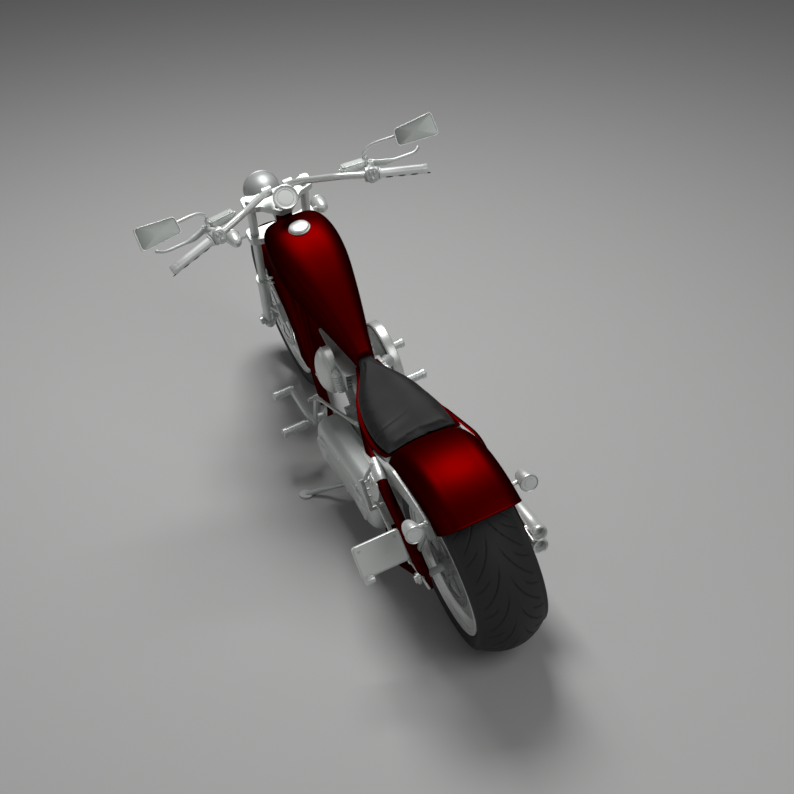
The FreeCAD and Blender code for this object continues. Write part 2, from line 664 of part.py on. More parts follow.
def egg_section(x, half, top, bottom):
    """A closed section across the tank: widest low down, with full shoulders under a gently domed top."""
    middle = bottom + WIDE_SHARE * (top - bottom)
    points = []
    for i in range(SECTION_POINTS):
        a = 2 * math.pi * i / SECTION_POINTS
        upper = i <= SECTION_POINTS / 2
        across, height = UPPER_FULLNESS if upper else LOWER_FULLNESS
        y = half * math.copysign(abs(math.cos(a)) ** across, math.cos(a))
        rise = abs(math.sin(a)) ** height
        z = middle + rise * (top - middle) if upper else middle - rise * (middle - bottom)
        points.append(V(x, y, z))
    curve = Part.BSplineCurve()
    curve.interpolate(points, PeriodicFlag=True)
    return Part.Wire(curve.toShape())


TANK_STATIONS = [
    (1360, 50, 978, 892), (1338, 92, 992, 868), (1290, 120, 1012, 838), (1190, 130, 1014, 802),
    (1090, 124, 983, 768), (990, 102, 927, 735), (890, 75, 854, 700), (800, 49, 778, 660),
    (742, 34, 718, 640),
]
tank_body = Part.makeLoft([egg_section(*s) for s in TANK_STATIONS], True, False)
tunnel = pipe(BACKBONE, 25, 120)
nodes["fuel_tank"] = tank_body.cut(tunnel).cut(rod(steer_point(NECK_LOW), steer_point(NECK_HIGH), 36))
CAP_AT = V(1188, 0, 1010)
cap_dir = V(-0.12, 0, 1).normalize()
nodes["fuel_cap"] = fused([
    rod(CAP_AT, CAP_AT + cap_dir * 10, 38),
    rod(CAP_AT + cap_dir * 10, CAP_AT + cap_dir * 15, 38, 28),
]).cut(tank_body)

SEAT_STATIONS = [
    (742, 32, 706, 668), (700, 50, 690, 641), (630, 88, 676, 615), (530, 119, 662, 604),
    (410, 133, 656, 604), (330, 133, 660, 612), (280, 130, 662, 626), (252, 126, 652, 636),
]
PAN_SHEET = 5.0


def seat_section(x, half, top, bottom):
    """A low cushion section with round shoulders."""
    points = [
        V(x, -half, bottom), V(x, -half, bottom + 0.55 * (top - bottom)), V(x, -0.72 * half, top - 3),
        V(x, 0, top), V(x, 0.72 * half, top - 3), V(x, half, bottom + 0.55 * (top - bottom)), V(x, half, bottom),
    ]
    curve = Part.BSplineCurve()
    curve.interpolate(points)
    return Part.Wire([curve.toShape(), Part.LineSegment(points[-1], points[0]).toShape()])


def seat_pan():
    """The painted pan that shows round the seat's edge and runs back into the rear fender."""
    sections = []
    for x, half, _, bottom in SEAT_STATIONS:
        edge = half + 14
        low = bottom - GAP - PAN_SHEET
        corners = [V(x, -edge, low), V(x, edge, low), V(x, edge, low + PAN_SHEET), V(x, -edge, low + PAN_SHEET)]
        sections.append(Part.makePolygon(corners + [corners[0]]))
    return Part.makeLoft(sections, True, False)


nodes["seat"] = Part.makeLoft([seat_section(*s) for s in SEAT_STATIONS], True, False).cut(fender_block)
pan = seat_pan().cut(nodes["fuel_tank"]).cut(nodes["backbone"])
nodes["rear_fender"] = fused([fender_shell, pan])

# Engine


def tilted(shape, tilt):
    shape.rotate(CRANK, Y_AXIS, tilt)
    return shape


DRUM = 105.0
CYLINDER_BASE = 118.0
CYLINDER_TOP = 236.0
HEAD_TOP = 282.0
ROCKER_TOP = 330.0
FIN_PITCH = 11.0
FIN_RADIUS = 66.0
BARREL_RADIUS = 52.0


TUBE_PLACES = ((-26, -70), (26, -70))
TUBE_RADIUS = 8.0
TAPPET_TOP = CYLINDER_BASE + 14


def finned_cylinder(tilt):
    """A barrel and head with cooling fins turned on one axis, and the two push-rod tubes on its right."""
    wall = BARREL_RADIUS
    profile = [(CYLINDER_BASE, 0.0), (CYLINDER_BASE, wall)]
    at = CYLINDER_BASE + 6
    while at + FIN_PITCH < HEAD_TOP - 2:
        profile += [(at, wall), (at + 1, FIN_RADIUS), (at + 4.5, FIN_RADIUS), (at + 5.5, wall)]
        at += FIN_PITCH
    profile += [(HEAD_TOP, wall), (HEAD_TOP, 0.0)]
    points = [CRANK + V(radius, 0, along) for along, radius in profile]
    pieces = [outline(points).revolve(CRANK, Z_AXIS, 360)]
    for x, y in TUBE_PLACES:
        foot = CRANK + V(x, y, TAPPET_TOP + GAP)
        head = CRANK + V(x, y, HEAD_TOP)
        pieces.append(rod(foot, head, TUBE_RADIUS))
        pieces.append(rod(foot, foot + V(0, 0, 26), TUBE_RADIUS + 4))
    return tilted(fused(pieces), tilt)


def rocker_box(tilt):
    """A rounded rocker box that caps a head and reaches out over its push-rod tubes."""
    corners = [V(-66, -90, 0), V(66, -90, 0), V(66, 62, 0), V(-66, 62, 0)]
    face = rounded_outline([CRANK + c + V(0, 0, HEAD_TOP + GAP) for c in corners], 24)
    box = face.extrude(V(0, 0, ROCKER_TOP - HEAD_TOP - GAP))
    try:
        tops = [e for e in box.Edges if abs(e.CenterOfMass.z - (CRANK.z + ROCKER_TOP)) < 0.1]
        box = box.makeFillet(12, tops)
    except Exception as problem:
        print("rocker fillet", problem)
    return tilted(box, tilt)


TILTS = (CYLINDER_TILT, -CYLINDER_TILT)
nodes["cylinders"] = Part.makeCompound([finned_cylinder(t) for t in TILTS])
nodes["rocker_boxes"] = Part.makeCompound([rocker_box(t) for t in TILTS])


def crankcase():
    """The engine case: a drum round the crank with a deck for each cylinder."""
    drum = rod(CRANK + V(0, -88, 0), CRANK + V(0, 88, 0), DRUM)
    deck = Part.makeBox(150, 150, CYLINDER_BASE - GAP, CRANK + V(-75, -75, 0))
    tappets = Part.makeBox(84, 30, TAPPET_TOP - 50, CRANK + V(-42, -90, 50))
    tilts = [tilted(block.copy(), tilt) for block in (deck, tappets) for tilt in TILTS]
    sump = Part.makeBox(220, 130, 60, CRANK + V(-120, -65, -148))
    cam = CRANK - V(0, 88, 0)
    cam_cover = turned([(0, 0), (0, 92), (-10, 92), (-20, 82), (-20, 46), (-28, 40), (-28, 0)], cam)
    return fused([drum, sump, cam_cover] + tilts)


nodes["crankcase"] = crankcase().cut(nodes["cylinders"])
SHIFT_SHAFT = V(640, 92, 380)
SHIFT_PIN = V(690, 92, 475)
nodes["gearbox"] = fused([
    Part.makeBox(230, 150, 190, V(430, -75, 215)),
    rod(GEARBOX_SHAFT - V(0, 60, 0), GEARBOX_SHAFT + V(0, PULLEY_Y - 14, 0), 14),
    gearbox_pulley,
    rod(SHIFT_SHAFT - V(0, 20, 0), SHIFT_SHAFT + V(0, 8, 0), 9),
    rod(SHIFT_SHAFT, SHIFT_PIN, 8, 6.5),
    rod(SHIFT_PIN, SHIFT_PIN + V(0, 19, 0), 4),
])
nodes["oil_tank"] = Part.makeBox(190, 190, 120, V(420, -95, 425))

PRIMARY_FRONT = V(872, 0, 288)
PRIMARY_REAR = V(512, 0, 290)
PRIMARY_IN = 104.0
PRIMARY_OUT = 218.0


def primary():
    """The primary drive cover: a long oval case with a raised rib round its face."""
    def oval(front_radius, rear_radius, y):
        f = PRIMARY_FRONT + V(0, y, 0)
        r = PRIMARY_REAR + V(0, y, 0)
        line = f - r
        slope = math.atan2(line.z, line.x)
        spread = math.asin((rear_radius - front_radius) / line.Length)
        up = slope + math.pi / 2 - spread
        down = slope - math.pi / 2 + spread

        def on(centre, radius, angle):
            return centre + V(radius * math.cos(angle), 0, radius * math.sin(angle))
        return Part.Wire([
            Part.LineSegment(on(r, rear_radius, up), on(f, front_radius, up)).toShape(),
            Part.Arc(on(f, front_radius, up), on(f, front_radius, slope), on(f, front_radius, down)).toShape(),
            Part.LineSegment(on(f, front_radius, down), on(r, rear_radius, down)).toShape(),
            Part.Arc(on(r, rear_radius, down), on(r, rear_radius, slope + math.pi),
                     on(r, rear_radius, up)).toShape(),
        ])
    face_y = PRIMARY_OUT - 12
    case = Part.Face(oval(112, 114, PRIMARY_IN)).extrude(V(0, face_y - PRIMARY_IN, 0))
    rims = [e for e in case.Edges if abs(e.CenterOfMass.y - face_y) < 0.1]
    case = case.makeFillet(44, rims)
    rib = Part.Face(oval(62, 66, face_y - 1)).extrude(V(0, 13, 0))
    rib = rib.makeFillet(7, [e for e in rib.Edges if abs(e.CenterOfMass.y - PRIMARY_OUT) < 0.1])
    dish = Part.Face(oval(44, 48, PRIMARY_OUT - 4)).extrude(V(0, 6, 0))
    return fused([case, rib]).cut(dish)


nodes["primary_cover"] = primary()

HORN_AT = V(905, 106, 592)
HORN_HALF = V(48, 42, 98)
HORN_BACK = 30.0


def horn_cover():
    """A tall domed shell beside the gap between the barrels, with an arm to the front barrel's side."""
    ovals = []
    for out in (-HORN_BACK, -15, 0, 14, 27, 36, 41):
        share = math.sqrt(1 - (out / HORN_HALF.y) ** 2)
        middle = HORN_AT + V(0, out, 0)
        tall = middle + V(0, 0, HORN_HALF.z * share)
        oval = Part.Ellipse(tall, middle + V(HORN_HALF.x * share, 0, 0), middle)
        ovals.append(Part.Wire(oval.toShape()))
    dome = Part.makeLoft(ovals, True, False)
    arm = rod(HORN_AT + V(0, -HORN_BACK + 6, -42), V(945, 62, 478), 9)
    barrel = tilted(rod(CRANK, CRANK + V(0, 0, HEAD_TOP), FIN_RADIUS), CYLINDER_TILT)
    return fused([dome, arm]).cut(barrel).cut(nodes["rocker_boxes"])


nodes["horn_cover"] = horn_cover()
AIR_AT = V(1020, -120, 470)
AIR_RADIUS = 140.0
AIR_DEPTH = 45.0
CARBURETTOR = V(870, 0, 545)


def air_cleaner():
    """A flat round air cleaner beside the front barrel, fed to the carburettor between the barrels."""
    centre = AIR_AT - V(0, AIR_DEPTH, 0)
    rim = AIR_RADIUS
    drum = [
        (0, 0), (0, rim - 26), (4, rim - 8), (9, rim), (AIR_DEPTH - 6, rim), (AIR_DEPTH - 2, rim - 4),
        (AIR_DEPTH - 2, rim - 12), (AIR_DEPTH, rim - 14), (AIR_DEPTH, 0),
    ]
    body = turned(drum, centre)
    throat = pipe([
        CARBURETTOR - V(0, 20, 0), CARBURETTOR - V(0, 106, 0), V(975, -138, 490)], 26, 34)
    return fused([body, throat]).cut(nodes["cylinders"]).cut(nodes["rocker_boxes"])


nodes["air_cleaner"] = air_cleaner()

# Exhaust

PIPE = 24.0
PIPE_Y = -222.0
front_pipe = [
    V(1034, -14, 486), V(1095, -30, 450), V(1090, -90, 300), V(1040, PIPE_Y, 246), V(-22, PIPE_Y, 250),
]
rear_pipe = [
    V(706, -14, 488), V(676, -60, 470), V(650, -140, 420), V(620, PIPE_Y, 345), V(560, PIPE_Y, 322),
    V(-40, PIPE_Y, 320),
]


def open_pipe(points):
    """A pipe whose rear end is open."""
    solid = pipe(points, PIPE, 60)
    end = points[-1]
    into = (points[-2] - end).normalize()
    return solid.cut(rod(end - into, end + into * 160, PIPE - 3)).cut(nodes["cylinders"])


nodes["exhausts"] = Part.makeCompound([open_pipe(front_pipe), open_pipe(rear_pipe)])

# Struts, plate and controls

STRUT_IN = FENDER_HALF + GAP
LUGGAGE_AT = V(25, STRUT_OUT, 604)
LUGGAGE_PITCH = 90.0
LUGGAGE_HOLE = 4.25
luggage_holes = Part.makeCompound([
    rod(V(LUGGAGE_AT.x + step * LUGGAGE_PITCH / 2, -200, LUGGAGE_AT.z),
        V(LUGGAGE_AT.x + step * LUGGAGE_PITCH / 2, 200, LUGGAGE_AT.z), LUGGAGE_HOLE) for step in (-1, 1)])


def strut(side):
    """A thick strut along the fender's side, drilled for a luggage rack or backrest."""
    points = [
        V(418, 0, 574), V(388, 0, 496), V(335, 0, 480), V(186, 0, 552), V(77, 0, 566), V(0, 0, 574),
        V(-99, 0, 592), V(-117, 0, 612), V(-34, 0, 632), V(68, 0, 641), V(165, 0, 640), V(251, 0, 619),
        V(351, 0, 594),
    ]
    low = STRUT_IN if side > 0 else -STRUT_OUT
    face = rounded_outline([p + V(0, low, 0) for p in points], 14)
    body = face.extrude(V(0, STRUT_OUT - STRUT_IN, 0))
    return body.cut(pipe(upper_stay(side), STAY + GAP, 110)).cut(luggage_holes)


nodes["fender_struts"] = Part.makeCompound([strut(1), strut(-1)]).cut(nodes["rear_fender"])
REAR_SIGNAL = V(-85, 196, 604)
rear_left = signal_body(REAR_SIGNAL, V(-0.97, 0, 0.1).normalize(), V(-92, STRUT_OUT - 4, 604))
rear_left = rear_left.cut(nodes["fender_struts"])
nodes["rear_signals"] = Part.makeCompound([rear_left, mirrored(rear_left)])

PLATE_CENTRE = V(30, 287, 462)
PLATE_NORMAL = V(-0.93, 0, 0.36).normalize()
PLATE_UP = V(0.36, 0, 0.93).normalize()


def number_plate():
    """A blank plate in a raised surround, on an arm from the axle plate, with its lamp below."""
    half_w, half_h = 82, 56
    corners = [
        PLATE_CENTRE + V(0, a * half_w, 0) + PLATE_UP * (b * half_h)
        for a, b in ((-1, -1), (1, -1), (1, 1), (-1, 1))
    ]
    board = rounded_outline(corners, 12).extrude(PLATE_NORMAL * -6)
    lip = rounded_outline(corners, 12).extrude(PLATE_NORMAL * 3)
    inner = [PLATE_CENTRE + (c - PLATE_CENTRE) * 0.92 for c in corners]
    lip = lip.cut(rounded_outline(inner, 9).extrude(PLATE_NORMAL * 4))
    holes = []
    for side in (-1, 1):
        at = PLATE_CENTRE + V(0, side * 60, 0) + PLATE_UP * 36
        holes.append(rod(at - PLATE_NORMAL * 12, at + PLATE_NORMAL * 12, 3.5))
    arm = pipe([
        V(96, STAY_SPREAD + STAY - 1, 352), V(90, 236, 372), V(44, 262, 440),
        PLATE_CENTRE - PLATE_NORMAL * 3 - V(0, 20, 0)], 8, 30)
    lamp_at = PLATE_CENTRE + V(0, 60, 0) - PLATE_UP * 64
    lamp = rod(lamp_at - V(0, 15, 0), lamp_at + V(0, 15, 0), 14)
    stem = rod(lamp_at, lamp_at + PLATE_UP * 22 - PLATE_NORMAL * 3, 5)
    return fused([board, lip, arm, lamp, stem]).cut(Part.makeCompound(holes))


nodes["number_plate"] = number_plate().cut(nodes["frame_left"])

PEG_AT = V(1129, 301, 250)


def peg_bar(end, length, radius):
    """A foot peg that points to the left, with a collar at its root."""
    body = rod(end - V(0, length, 0), end, radius)
    collar = rod(end - V(0, 16, 0), end, radius + 2)
    return fused([body, collar])


def forward_control(side):
    """A bracket on the cradle tube with the rider's foot peg."""
    peg = peg_bar(PEG_AT, 105, 15)
    stalk = rod(V(PEG_AT.x, 150, PEG_AT.z), V(PEG_AT.x, PEG_AT.y - 105, PEG_AT.z), 9)
    hub = rod(V(PEG_AT.x, RAIL_SPREAD + 10, PEG_AT.z), V(PEG_AT.x, 162, PEG_AT.z), 22)
    bracket = rod(V(PEG_AT.x, 128, PEG_AT.z), V(1188, 104, 250), 14)
    body = fused([peg, stalk, hub, bracket])
    return body if side > 0 else mirrored(body)


TOE_END = V(1232, 275, 352)
toe = peg_bar(TOE_END, 76, 11)
toe_arm = pipe([
    V(PEG_AT.x, 170, PEG_AT.z), V(PEG_AT.x + 20, 186, PEG_AT.z + 22), TOE_END - V(8, 76, 8), TOE_END - V(0, 60, 0)],
    8, 20)
toe_hub = rod(V(PEG_AT.x, 160, PEG_AT.z), V(PEG_AT.x, 180, PEG_AT.z), 20)
SHIFT_ARM_END = V(1098, 154, 368)


def shift_linkage():
    """The gear linkage: an arm up from the toe lever's hub and a rod back to the gearbox's lever."""
    eye_at = SHIFT_PIN + V(0, 12, 0)
    eye = rod(eye_at - V(0, 4, 0), eye_at + V(0, 4, 0), 10)
    bore = rod(SHIFT_PIN, SHIFT_PIN + V(0, 40, 0), 4 + GAP)
    return [
        rod(V(PEG_AT.x, 170, PEG_AT.z), SHIFT_ARM_END + V(0, 4, 0), 9, 6),
        rod(SHIFT_ARM_END - V(0, 8, 0), SHIFT_ARM_END + V(0, 10, 0), 8),
        rod(SHIFT_ARM_END, eye_at, 4.5).cut(bore), eye.cut(bore),
    ]


foot_right = fused([forward_control(1), toe, toe_arm, toe_hub])
foot_left = fused([foot_right] + shift_linkage()).cut(nodes["frame_left"])
nodes["foot_controls"] = Part.makeCompound([foot_left, mirrored(foot_right.cut(nodes["frame_left"]))])

# Side stand

EYE_RADIUS = 19.0
STAND_PIVOT = V(870, RAIL_SPREAD + STAY + EYE_RADIUS + 6, 104)


def park_matrix():
    """Turns the upright machine as it leans on its stand: both tyres and the stand's foot at height 0."""
    sink_rear = REAR_CROWN * (1 - math.cos(math.radians(LEAN)))
    sink_front = FRONT_CROWN * (1 - math.cos(math.radians(LEAN)))
    pitch = math.degrees(math.asin((sink_rear - sink_front) / WHEELBASE))
    lean = Placement(ORIGIN, Rotation(X_AXIS, -LEAN))
    nose_down = Placement(V(0, 0, sink_rear), Rotation(Y_AXIS, pitch))
    return nose_down.multiply(lean)


PARK = park_matrix()
FOOT_AT = V(960, 330, 0)


def side_stand():
    """The stand, down: a curved leg from its pivot to a flat foot on the ground."""
    back = PARK.inverse()
    foot_low = PARK.multVec(V(FOOT_AT.x, FOOT_AT.y, 0))
    foot_low = V(foot_low.x, foot_low.y, 0)
    foot = Part.makeCylinder(26, 8, foot_low, Z_AXIS)
    foot.Placement = back.multiply(foot.Placement)
    foot_top = back.multVec(foot_low + V(0, 0, 5))
    knee = STAND_PIVOT + (foot_top - STAND_PIVOT) * 0.55 + V(12, 0, -6)
    leg = pipe([STAND_PIVOT, knee, foot_top], 10, 120)
    ground = Part.makeBox(400, 400, 60, foot_low - V(200, 200, 60))
    ground.Placement = back.multiply(ground.Placement)
    eye = rod(STAND_PIVOT - STAND_AXIS * 13, STAND_PIVOT + STAND_AXIS * 13, EYE_RADIUS)
    return fused([foot, leg, eye]).cut(ground).cut(
        rod(STAND_PIVOT - STAND_AXIS * 30, STAND_PIVOT + STAND_AXIS * 30, 8.4))


def stand_bracket():
    """The frame's shelf below the stand's eye, with the pivot bolt that stands up from it."""
    bolt = rod(STAND_PIVOT - STAND_AXIS * 22, STAND_PIVOT + STAND_AXIS * 18, 8)
    ear = rod(STAND_PIVOT - STAND_AXIS * 26, STAND_PIVOT - STAND_AXIS * 14, EYE_RADIUS)
    low = V(STAND_PIVOT.x - 14, RAIL_SPREAD - 8, STAND_PIVOT.z - 26)
    shelf = Part.makeBox(28, STAND_PIVOT.y - low.y, 12, low)
    gusset = Part.makeBox(28, STAY + 6, RAIL_HEIGHT - low.z, low)
    return [bolt, ear, shelf, gusset]


STAND_AXIS = V(0.03, 0.16, 0.92).normalize()
nodes["side_stand"] = side_stand()
nodes["frame_left"] = fused([nodes["frame_left"]] + stand_bracket())


# Park the machine and write the pieces

def row_origin(shapes):
    """The point under the middle of the whole parked machine."""
    lows = [1e9, 1e9, 1e9]
    highs = [-1e9, -1e9, -1e9]
    for shape in shapes:
        for p in shape.tessellate(0.5)[0]:
            for k in range(3):
                lows[k] = min(lows[k], p[k])
                highs[k] = max(highs[k], p[k])
    return V((lows[0] + highs[0]) / 2, (lows[1] + highs[1]) / 2, 0), lows, highs


os.makedirs("parts", exist_ok=True)
for name, shape in nodes.items():
    shape.Placement = PARK.multiply(shape.Placement)
middle, lows, highs = row_origin(nodes.values())
for name, shape in nodes.items():
    shape.translate(-middle)
    shape.exportStep(f"parts/{name}.step")
    solids = len(shape.Solids)
    good = shape.isValid() and all(s.isClosed() for s in shape.Solids)
    print(f"{name:20s} solids {solids} volume {shape.Volume / 1000:9.1f} cm3 {'' if good else 'BAD'}")


def parked(point):
    return [round(c / 1000, 6) for c in (PARK.multVec(point) - middle)]


def direction(vector):
    return [round(c, 8) for c in PARK.Rotation.multVec(vector)]


bar_at = BAR_POINTS[2] + (BAR_POINTS[3] - BAR_POINTS[2]) * 0.5
bar_line = (BAR_POINTS[3] - BAR_POINTS[2]).normalize()
foot_low = PARK.multVec(FOOT_AT)
facts = {
    "rear_axle": parked(REAR_AXLE), "front_axle": parked(FRONT_AXLE), "y_axis": direction(Y_AXIS),
    "steer_point": parked(steer_point(UP_LOWER)), "steer_axis": direction(UP_FORK),
    "stand_pivot": parked(STAND_PIVOT), "stand_axis": direction(STAND_AXIS),
    "plate_bolts": parked(PLATE_CENTRE + PLATE_UP * 36), "plate_normal": direction(PLATE_NORMAL),
    "bar_left": parked(bar_at), "bar_left_axis": direction(bar_line),
    "bar_right": parked(flip(bar_at)), "bar_right_axis": direction(flip(bar_line)),
    "rack_left": parked(LUGGAGE_AT), "rack_right": parked(flip(LUGGAGE_AT)),
    "stand_foot": [round((foot_low.x - middle.x) / 1000, 6), round((foot_low.y - middle.y) / 1000, 6), 0.0],
}
print("FACTS", json.dumps(facts))
print("EXTENT", [round(h - w, 1) for w, h in zip(lows, highs)], round(middle.x, 3), round(middle.y, 3))
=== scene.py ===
import bmesh
import bpy
import json
import math
import numpy as np
from mathutils import Matrix, Vector


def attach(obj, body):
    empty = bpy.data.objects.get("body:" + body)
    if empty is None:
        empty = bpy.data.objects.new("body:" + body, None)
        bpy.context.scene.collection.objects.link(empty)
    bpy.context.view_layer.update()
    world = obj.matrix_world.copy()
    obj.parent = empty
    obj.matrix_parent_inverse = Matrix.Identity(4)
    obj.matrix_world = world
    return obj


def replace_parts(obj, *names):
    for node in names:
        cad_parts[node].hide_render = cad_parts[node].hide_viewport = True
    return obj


# A low chopper motorcycle with an open V-twin engine, parked leaning on its side stand.
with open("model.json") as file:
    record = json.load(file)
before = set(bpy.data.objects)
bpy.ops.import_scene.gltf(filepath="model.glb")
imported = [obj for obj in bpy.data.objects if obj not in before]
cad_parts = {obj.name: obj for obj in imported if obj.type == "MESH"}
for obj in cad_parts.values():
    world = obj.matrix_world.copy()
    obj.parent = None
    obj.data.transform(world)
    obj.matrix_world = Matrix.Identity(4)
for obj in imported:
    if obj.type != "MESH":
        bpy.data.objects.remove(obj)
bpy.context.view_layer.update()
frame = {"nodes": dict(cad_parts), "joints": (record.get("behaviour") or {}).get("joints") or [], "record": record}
nodes = frame["nodes"]
joints = {joint["name"]: joint for joint in frame["joints"]}

# The machine's own axes
# Shapes are worked out with the machine upright, in metres: X forwards from the rear axle, Y to the
# rider's left, Z up from the ground. The two wheel joints say how the parked machine stands.
REAR_AXLE = np.array([0.0, 0.0, 0.328])
FRONT_AXLE = np.array([1.785, 0.0, 0.350])
X, Y, Z = np.eye(3)


def axes_of(line, across):
    """Columns: the unit line, the unit direction across it, and the direction square to both."""
    x = line / np.linalg.norm(line)
    y = across / np.linalg.norm(across)
    return np.stack([x, y, np.cross(x, y)], axis=1)


parked_rear = np.array(joints["rear_wheel_spin"]["pos_m"])
parked_front = np.array(joints["front_wheel_spin"]["pos_m"])
parked_across = np.array(joints["rear_wheel_spin"]["axis"])
LEAN_TURN = axes_of(parked_front - parked_rear, parked_across) @ axes_of(FRONT_AXLE - REAR_AXLE, Y).T
LEAN_SHIFT = parked_rear - LEAN_TURN @ REAR_AXLE


def parked(points):
    """Upright points as the parked machine has them: turned, then shifted."""
    return np.asarray(points, float) @ LEAN_TURN.T + LEAN_SHIFT


# Camera
# It stands behind and to the left of the machine, above it, and is rolled a little. Its place and
# angles were solved from the photograph's outlines, in the upright machine's axes.
CAMERA_AT = np.array([-3.5296, 0.9592, 3.6030])
CAMERA_AZIMUTH = math.radians(-13.591)
CAMERA_ELEVATION = math.radians(-35.415)
CAMERA_ROLL = math.radians(-15.456)
CAMERA_LENS = 68.6
CAMERA_SENSOR = 36


def new_object(name, data):
    """An object that carries the data, put into the scene."""
    thing = bpy.data.objects.new(name, data)
    bpy.context.scene.collection.objects.link(thing)
    return thing


def camera_axes():
    """The camera's right, up and back directions from its azimuth, elevation and roll."""
    ahead = np.array([
        math.cos(CAMERA_AZIMUTH) * math.cos(CAMERA_ELEVATION),
        math.sin(CAMERA_AZIMUTH) * math.cos(CAMERA_ELEVATION),
        math.sin(CAMERA_ELEVATION),
    ])
    right = np.cross(ahead, Z)
    right /= np.linalg.norm(right)
    up = np.cross(right, ahead)
    c, s = math.cos(CAMERA_ROLL), math.sin(CAMERA_ROLL)
    return np.stack([c * right + s * up, c * up - s * right, -ahead], axis=1)


camera_data = bpy.data.cameras.new("camera")
camera_data.sensor_width = CAMERA_SENSOR
camera_data.lens = CAMERA_LENS
camera = new_object("camera", camera_data)
camera_pose = np.eye(4)
camera_pose[:3, :3] = LEAN_TURN @ camera_axes()
camera_pose[:3, 3] = parked(CAMERA_AT)
camera.matrix_world = Matrix(camera_pose.tolist())
bpy.context.scene.camera = camera

# Floor and light
# A pale studio floor that runs far past the view. A large soft lamp hangs high above, a little ahead
# and to the right, a weaker one stands behind, and a faint one fills from the left in a dim pale room.
FLOOR_HALF = 20.0
FLOOR_COLOUR = (0.50, 0.50, 0.495, 1)
FLOOR_ROUGHNESS = 0.7
ROOM_COLOUR = (0.80, 0.82, 0.82, 1)
ROOM_STRENGTH = 0.10
LAMP_TARGET = (0.0, 0.0, 0.5)
SQUARE = ((-1, -1), (1, -1), (1, 1), (-1, 1))


def new_material(name, **sockets):
    """A Principled material; each value is set on the shader's own socket."""
    material = bpy.data.materials.new(name)
    material.use_nodes = True
    shader = material.node_tree.nodes["Principled BSDF"]
    for socket, value in sockets.items():
        shader.inputs[socket.replace("_", " ")].default_value = value
    return material


def soft_lamp(name, place, size, power):
    """A square area lamp that faces the machine's middle."""
    data = bpy.data.lights.new(name, "AREA")
    data.size = size
    data.energy = power
    lamp = new_object(name, data)
    lamp.location = place
    lamp.rotation_euler = (Vector(LAMP_TARGET) - Vector(place)).to_track_quat("-Z", "Y").to_euler()


floor_mesh = bpy.data.meshes.new("floor")
floor_mesh.from_pydata([(a * FLOOR_HALF, b * FLOOR_HALF, 0) for a, b in SQUARE], [], [(0, 1, 2, 3)])
floor_mesh.materials.append(new_material("floor", Base_Color=FLOOR_COLOUR, Roughness=FLOOR_ROUGHNESS))
floor = new_object("floor", floor_mesh)

world = bpy.data.worlds.new("studio")
world.use_nodes = True
room = world.node_tree.nodes["Background"]
room.inputs["Color"].default_value = ROOM_COLOUR
room.inputs["Strength"].default_value = ROOM_STRENGTH
bpy.context.scene.world = world
bpy.context.scene.view_settings.view_transform = "Standard"

soft_lamp("key_lamp", (1.9, -0.4, 4.9), 2.0, 176)
soft_lamp("back_lamp", (-3.6, -1.2, 3.4), 2.4, 48)
soft_lamp("fill_lamp", (-1.5, 4.5, 2.4), 3.0, 16)

# Shared effects
# Metal, rubber and leather alike drift a little in shade and gloss, and carry a fine grain. One node
# group makes both from two sizes of noise, and each finish gives it its own values.
COARSE_DETAIL = 4
FINE_DETAIL = 3
DRIFT_RANGE = (0.3, 0.7)
GRAIN_STRENGTH = 0.35


def effect_group(name, inputs, outputs):
    """An empty node group with named inputs (name, kind, default) and outputs (name, kind)."""
    group = bpy.data.node_groups.new(name, "ShaderNodeTree")
    for label, kind, default in inputs:
        group.interface.new_socket(label, in_out="INPUT", socket_type=kind).default_value = default
    for label, kind in outputs:
        group.interface.new_socket(label, in_out="OUTPUT", socket_type=kind)
    return group, group.nodes.new("NodeGroupInput"), group.nodes.new("NodeGroupOutput")


def mottle_group():
    """Two sizes of noise on Object coordinates, mixed to a shade, a roughness and a surface height."""
    group, source, sink = effect_group(
        "mottle",
        [("Colour A", "NodeSocketColor", (1, 1, 1, 1)), ("Colour B", "NodeSocketColor", (0, 0, 0, 1)),
         ("Coarse Scale", "NodeSocketFloat", 6.0), ("Fine Scale", "NodeSocketFloat", 220.0),
         ("Roughness Low", "NodeSocketFloat", 0.3), ("Roughness High", "NodeSocketFloat", 0.4)],
        [("Colour", "NodeSocketColor"), ("Roughness", "NodeSocketFloat"), ("Height", "NodeSocketFloat")])
    new, link = group.nodes.new, group.links.new
    place = new("ShaderNodeTexCoord")
    coarse, fine = new("ShaderNodeTexNoise"), new("ShaderNodeTexNoise")
    coarse.inputs["Detail"].default_value = COARSE_DETAIL
    fine.inputs["Detail"].default_value = FINE_DETAIL
    link(place.outputs["Object"], coarse.inputs["Vector"])
    link(place.outputs["Object"], fine.inputs["Vector"])
    link(source.outputs["Coarse Scale"], coarse.inputs["Scale"])
    link(source.outputs["Fine Scale"], fine.inputs["Scale"])
    shade = new("ShaderNodeMix")
    shade.data_type = "RGBA"
    link(coarse.outputs["Fac"], shade.inputs["Factor"])
    link(source.outputs["Colour A"], shade.inputs["A"])
    link(source.outputs["Colour B"], shade.inputs["B"])
    rough = new("ShaderNodeMapRange")
    link(coarse.outputs["Fac"], rough.inputs["Value"])
    rough.inputs["From Min"].default_value = DRIFT_RANGE[0]
    rough.inputs["From Max"].default_value = DRIFT_RANGE[1]
    link(source.outputs["Roughness Low"], rough.inputs["To Min"])
    link(source.outputs["Roughness High"], rough.inputs["To Max"])
    link(shade.outputs["Result"], sink.inputs["Colour"])
    link(rough.outputs["Result"], sink.inputs["Roughness"])
    link(fine.outputs["Fac"], sink.inputs["Height"])
    return group


MOTTLE = mottle_group()


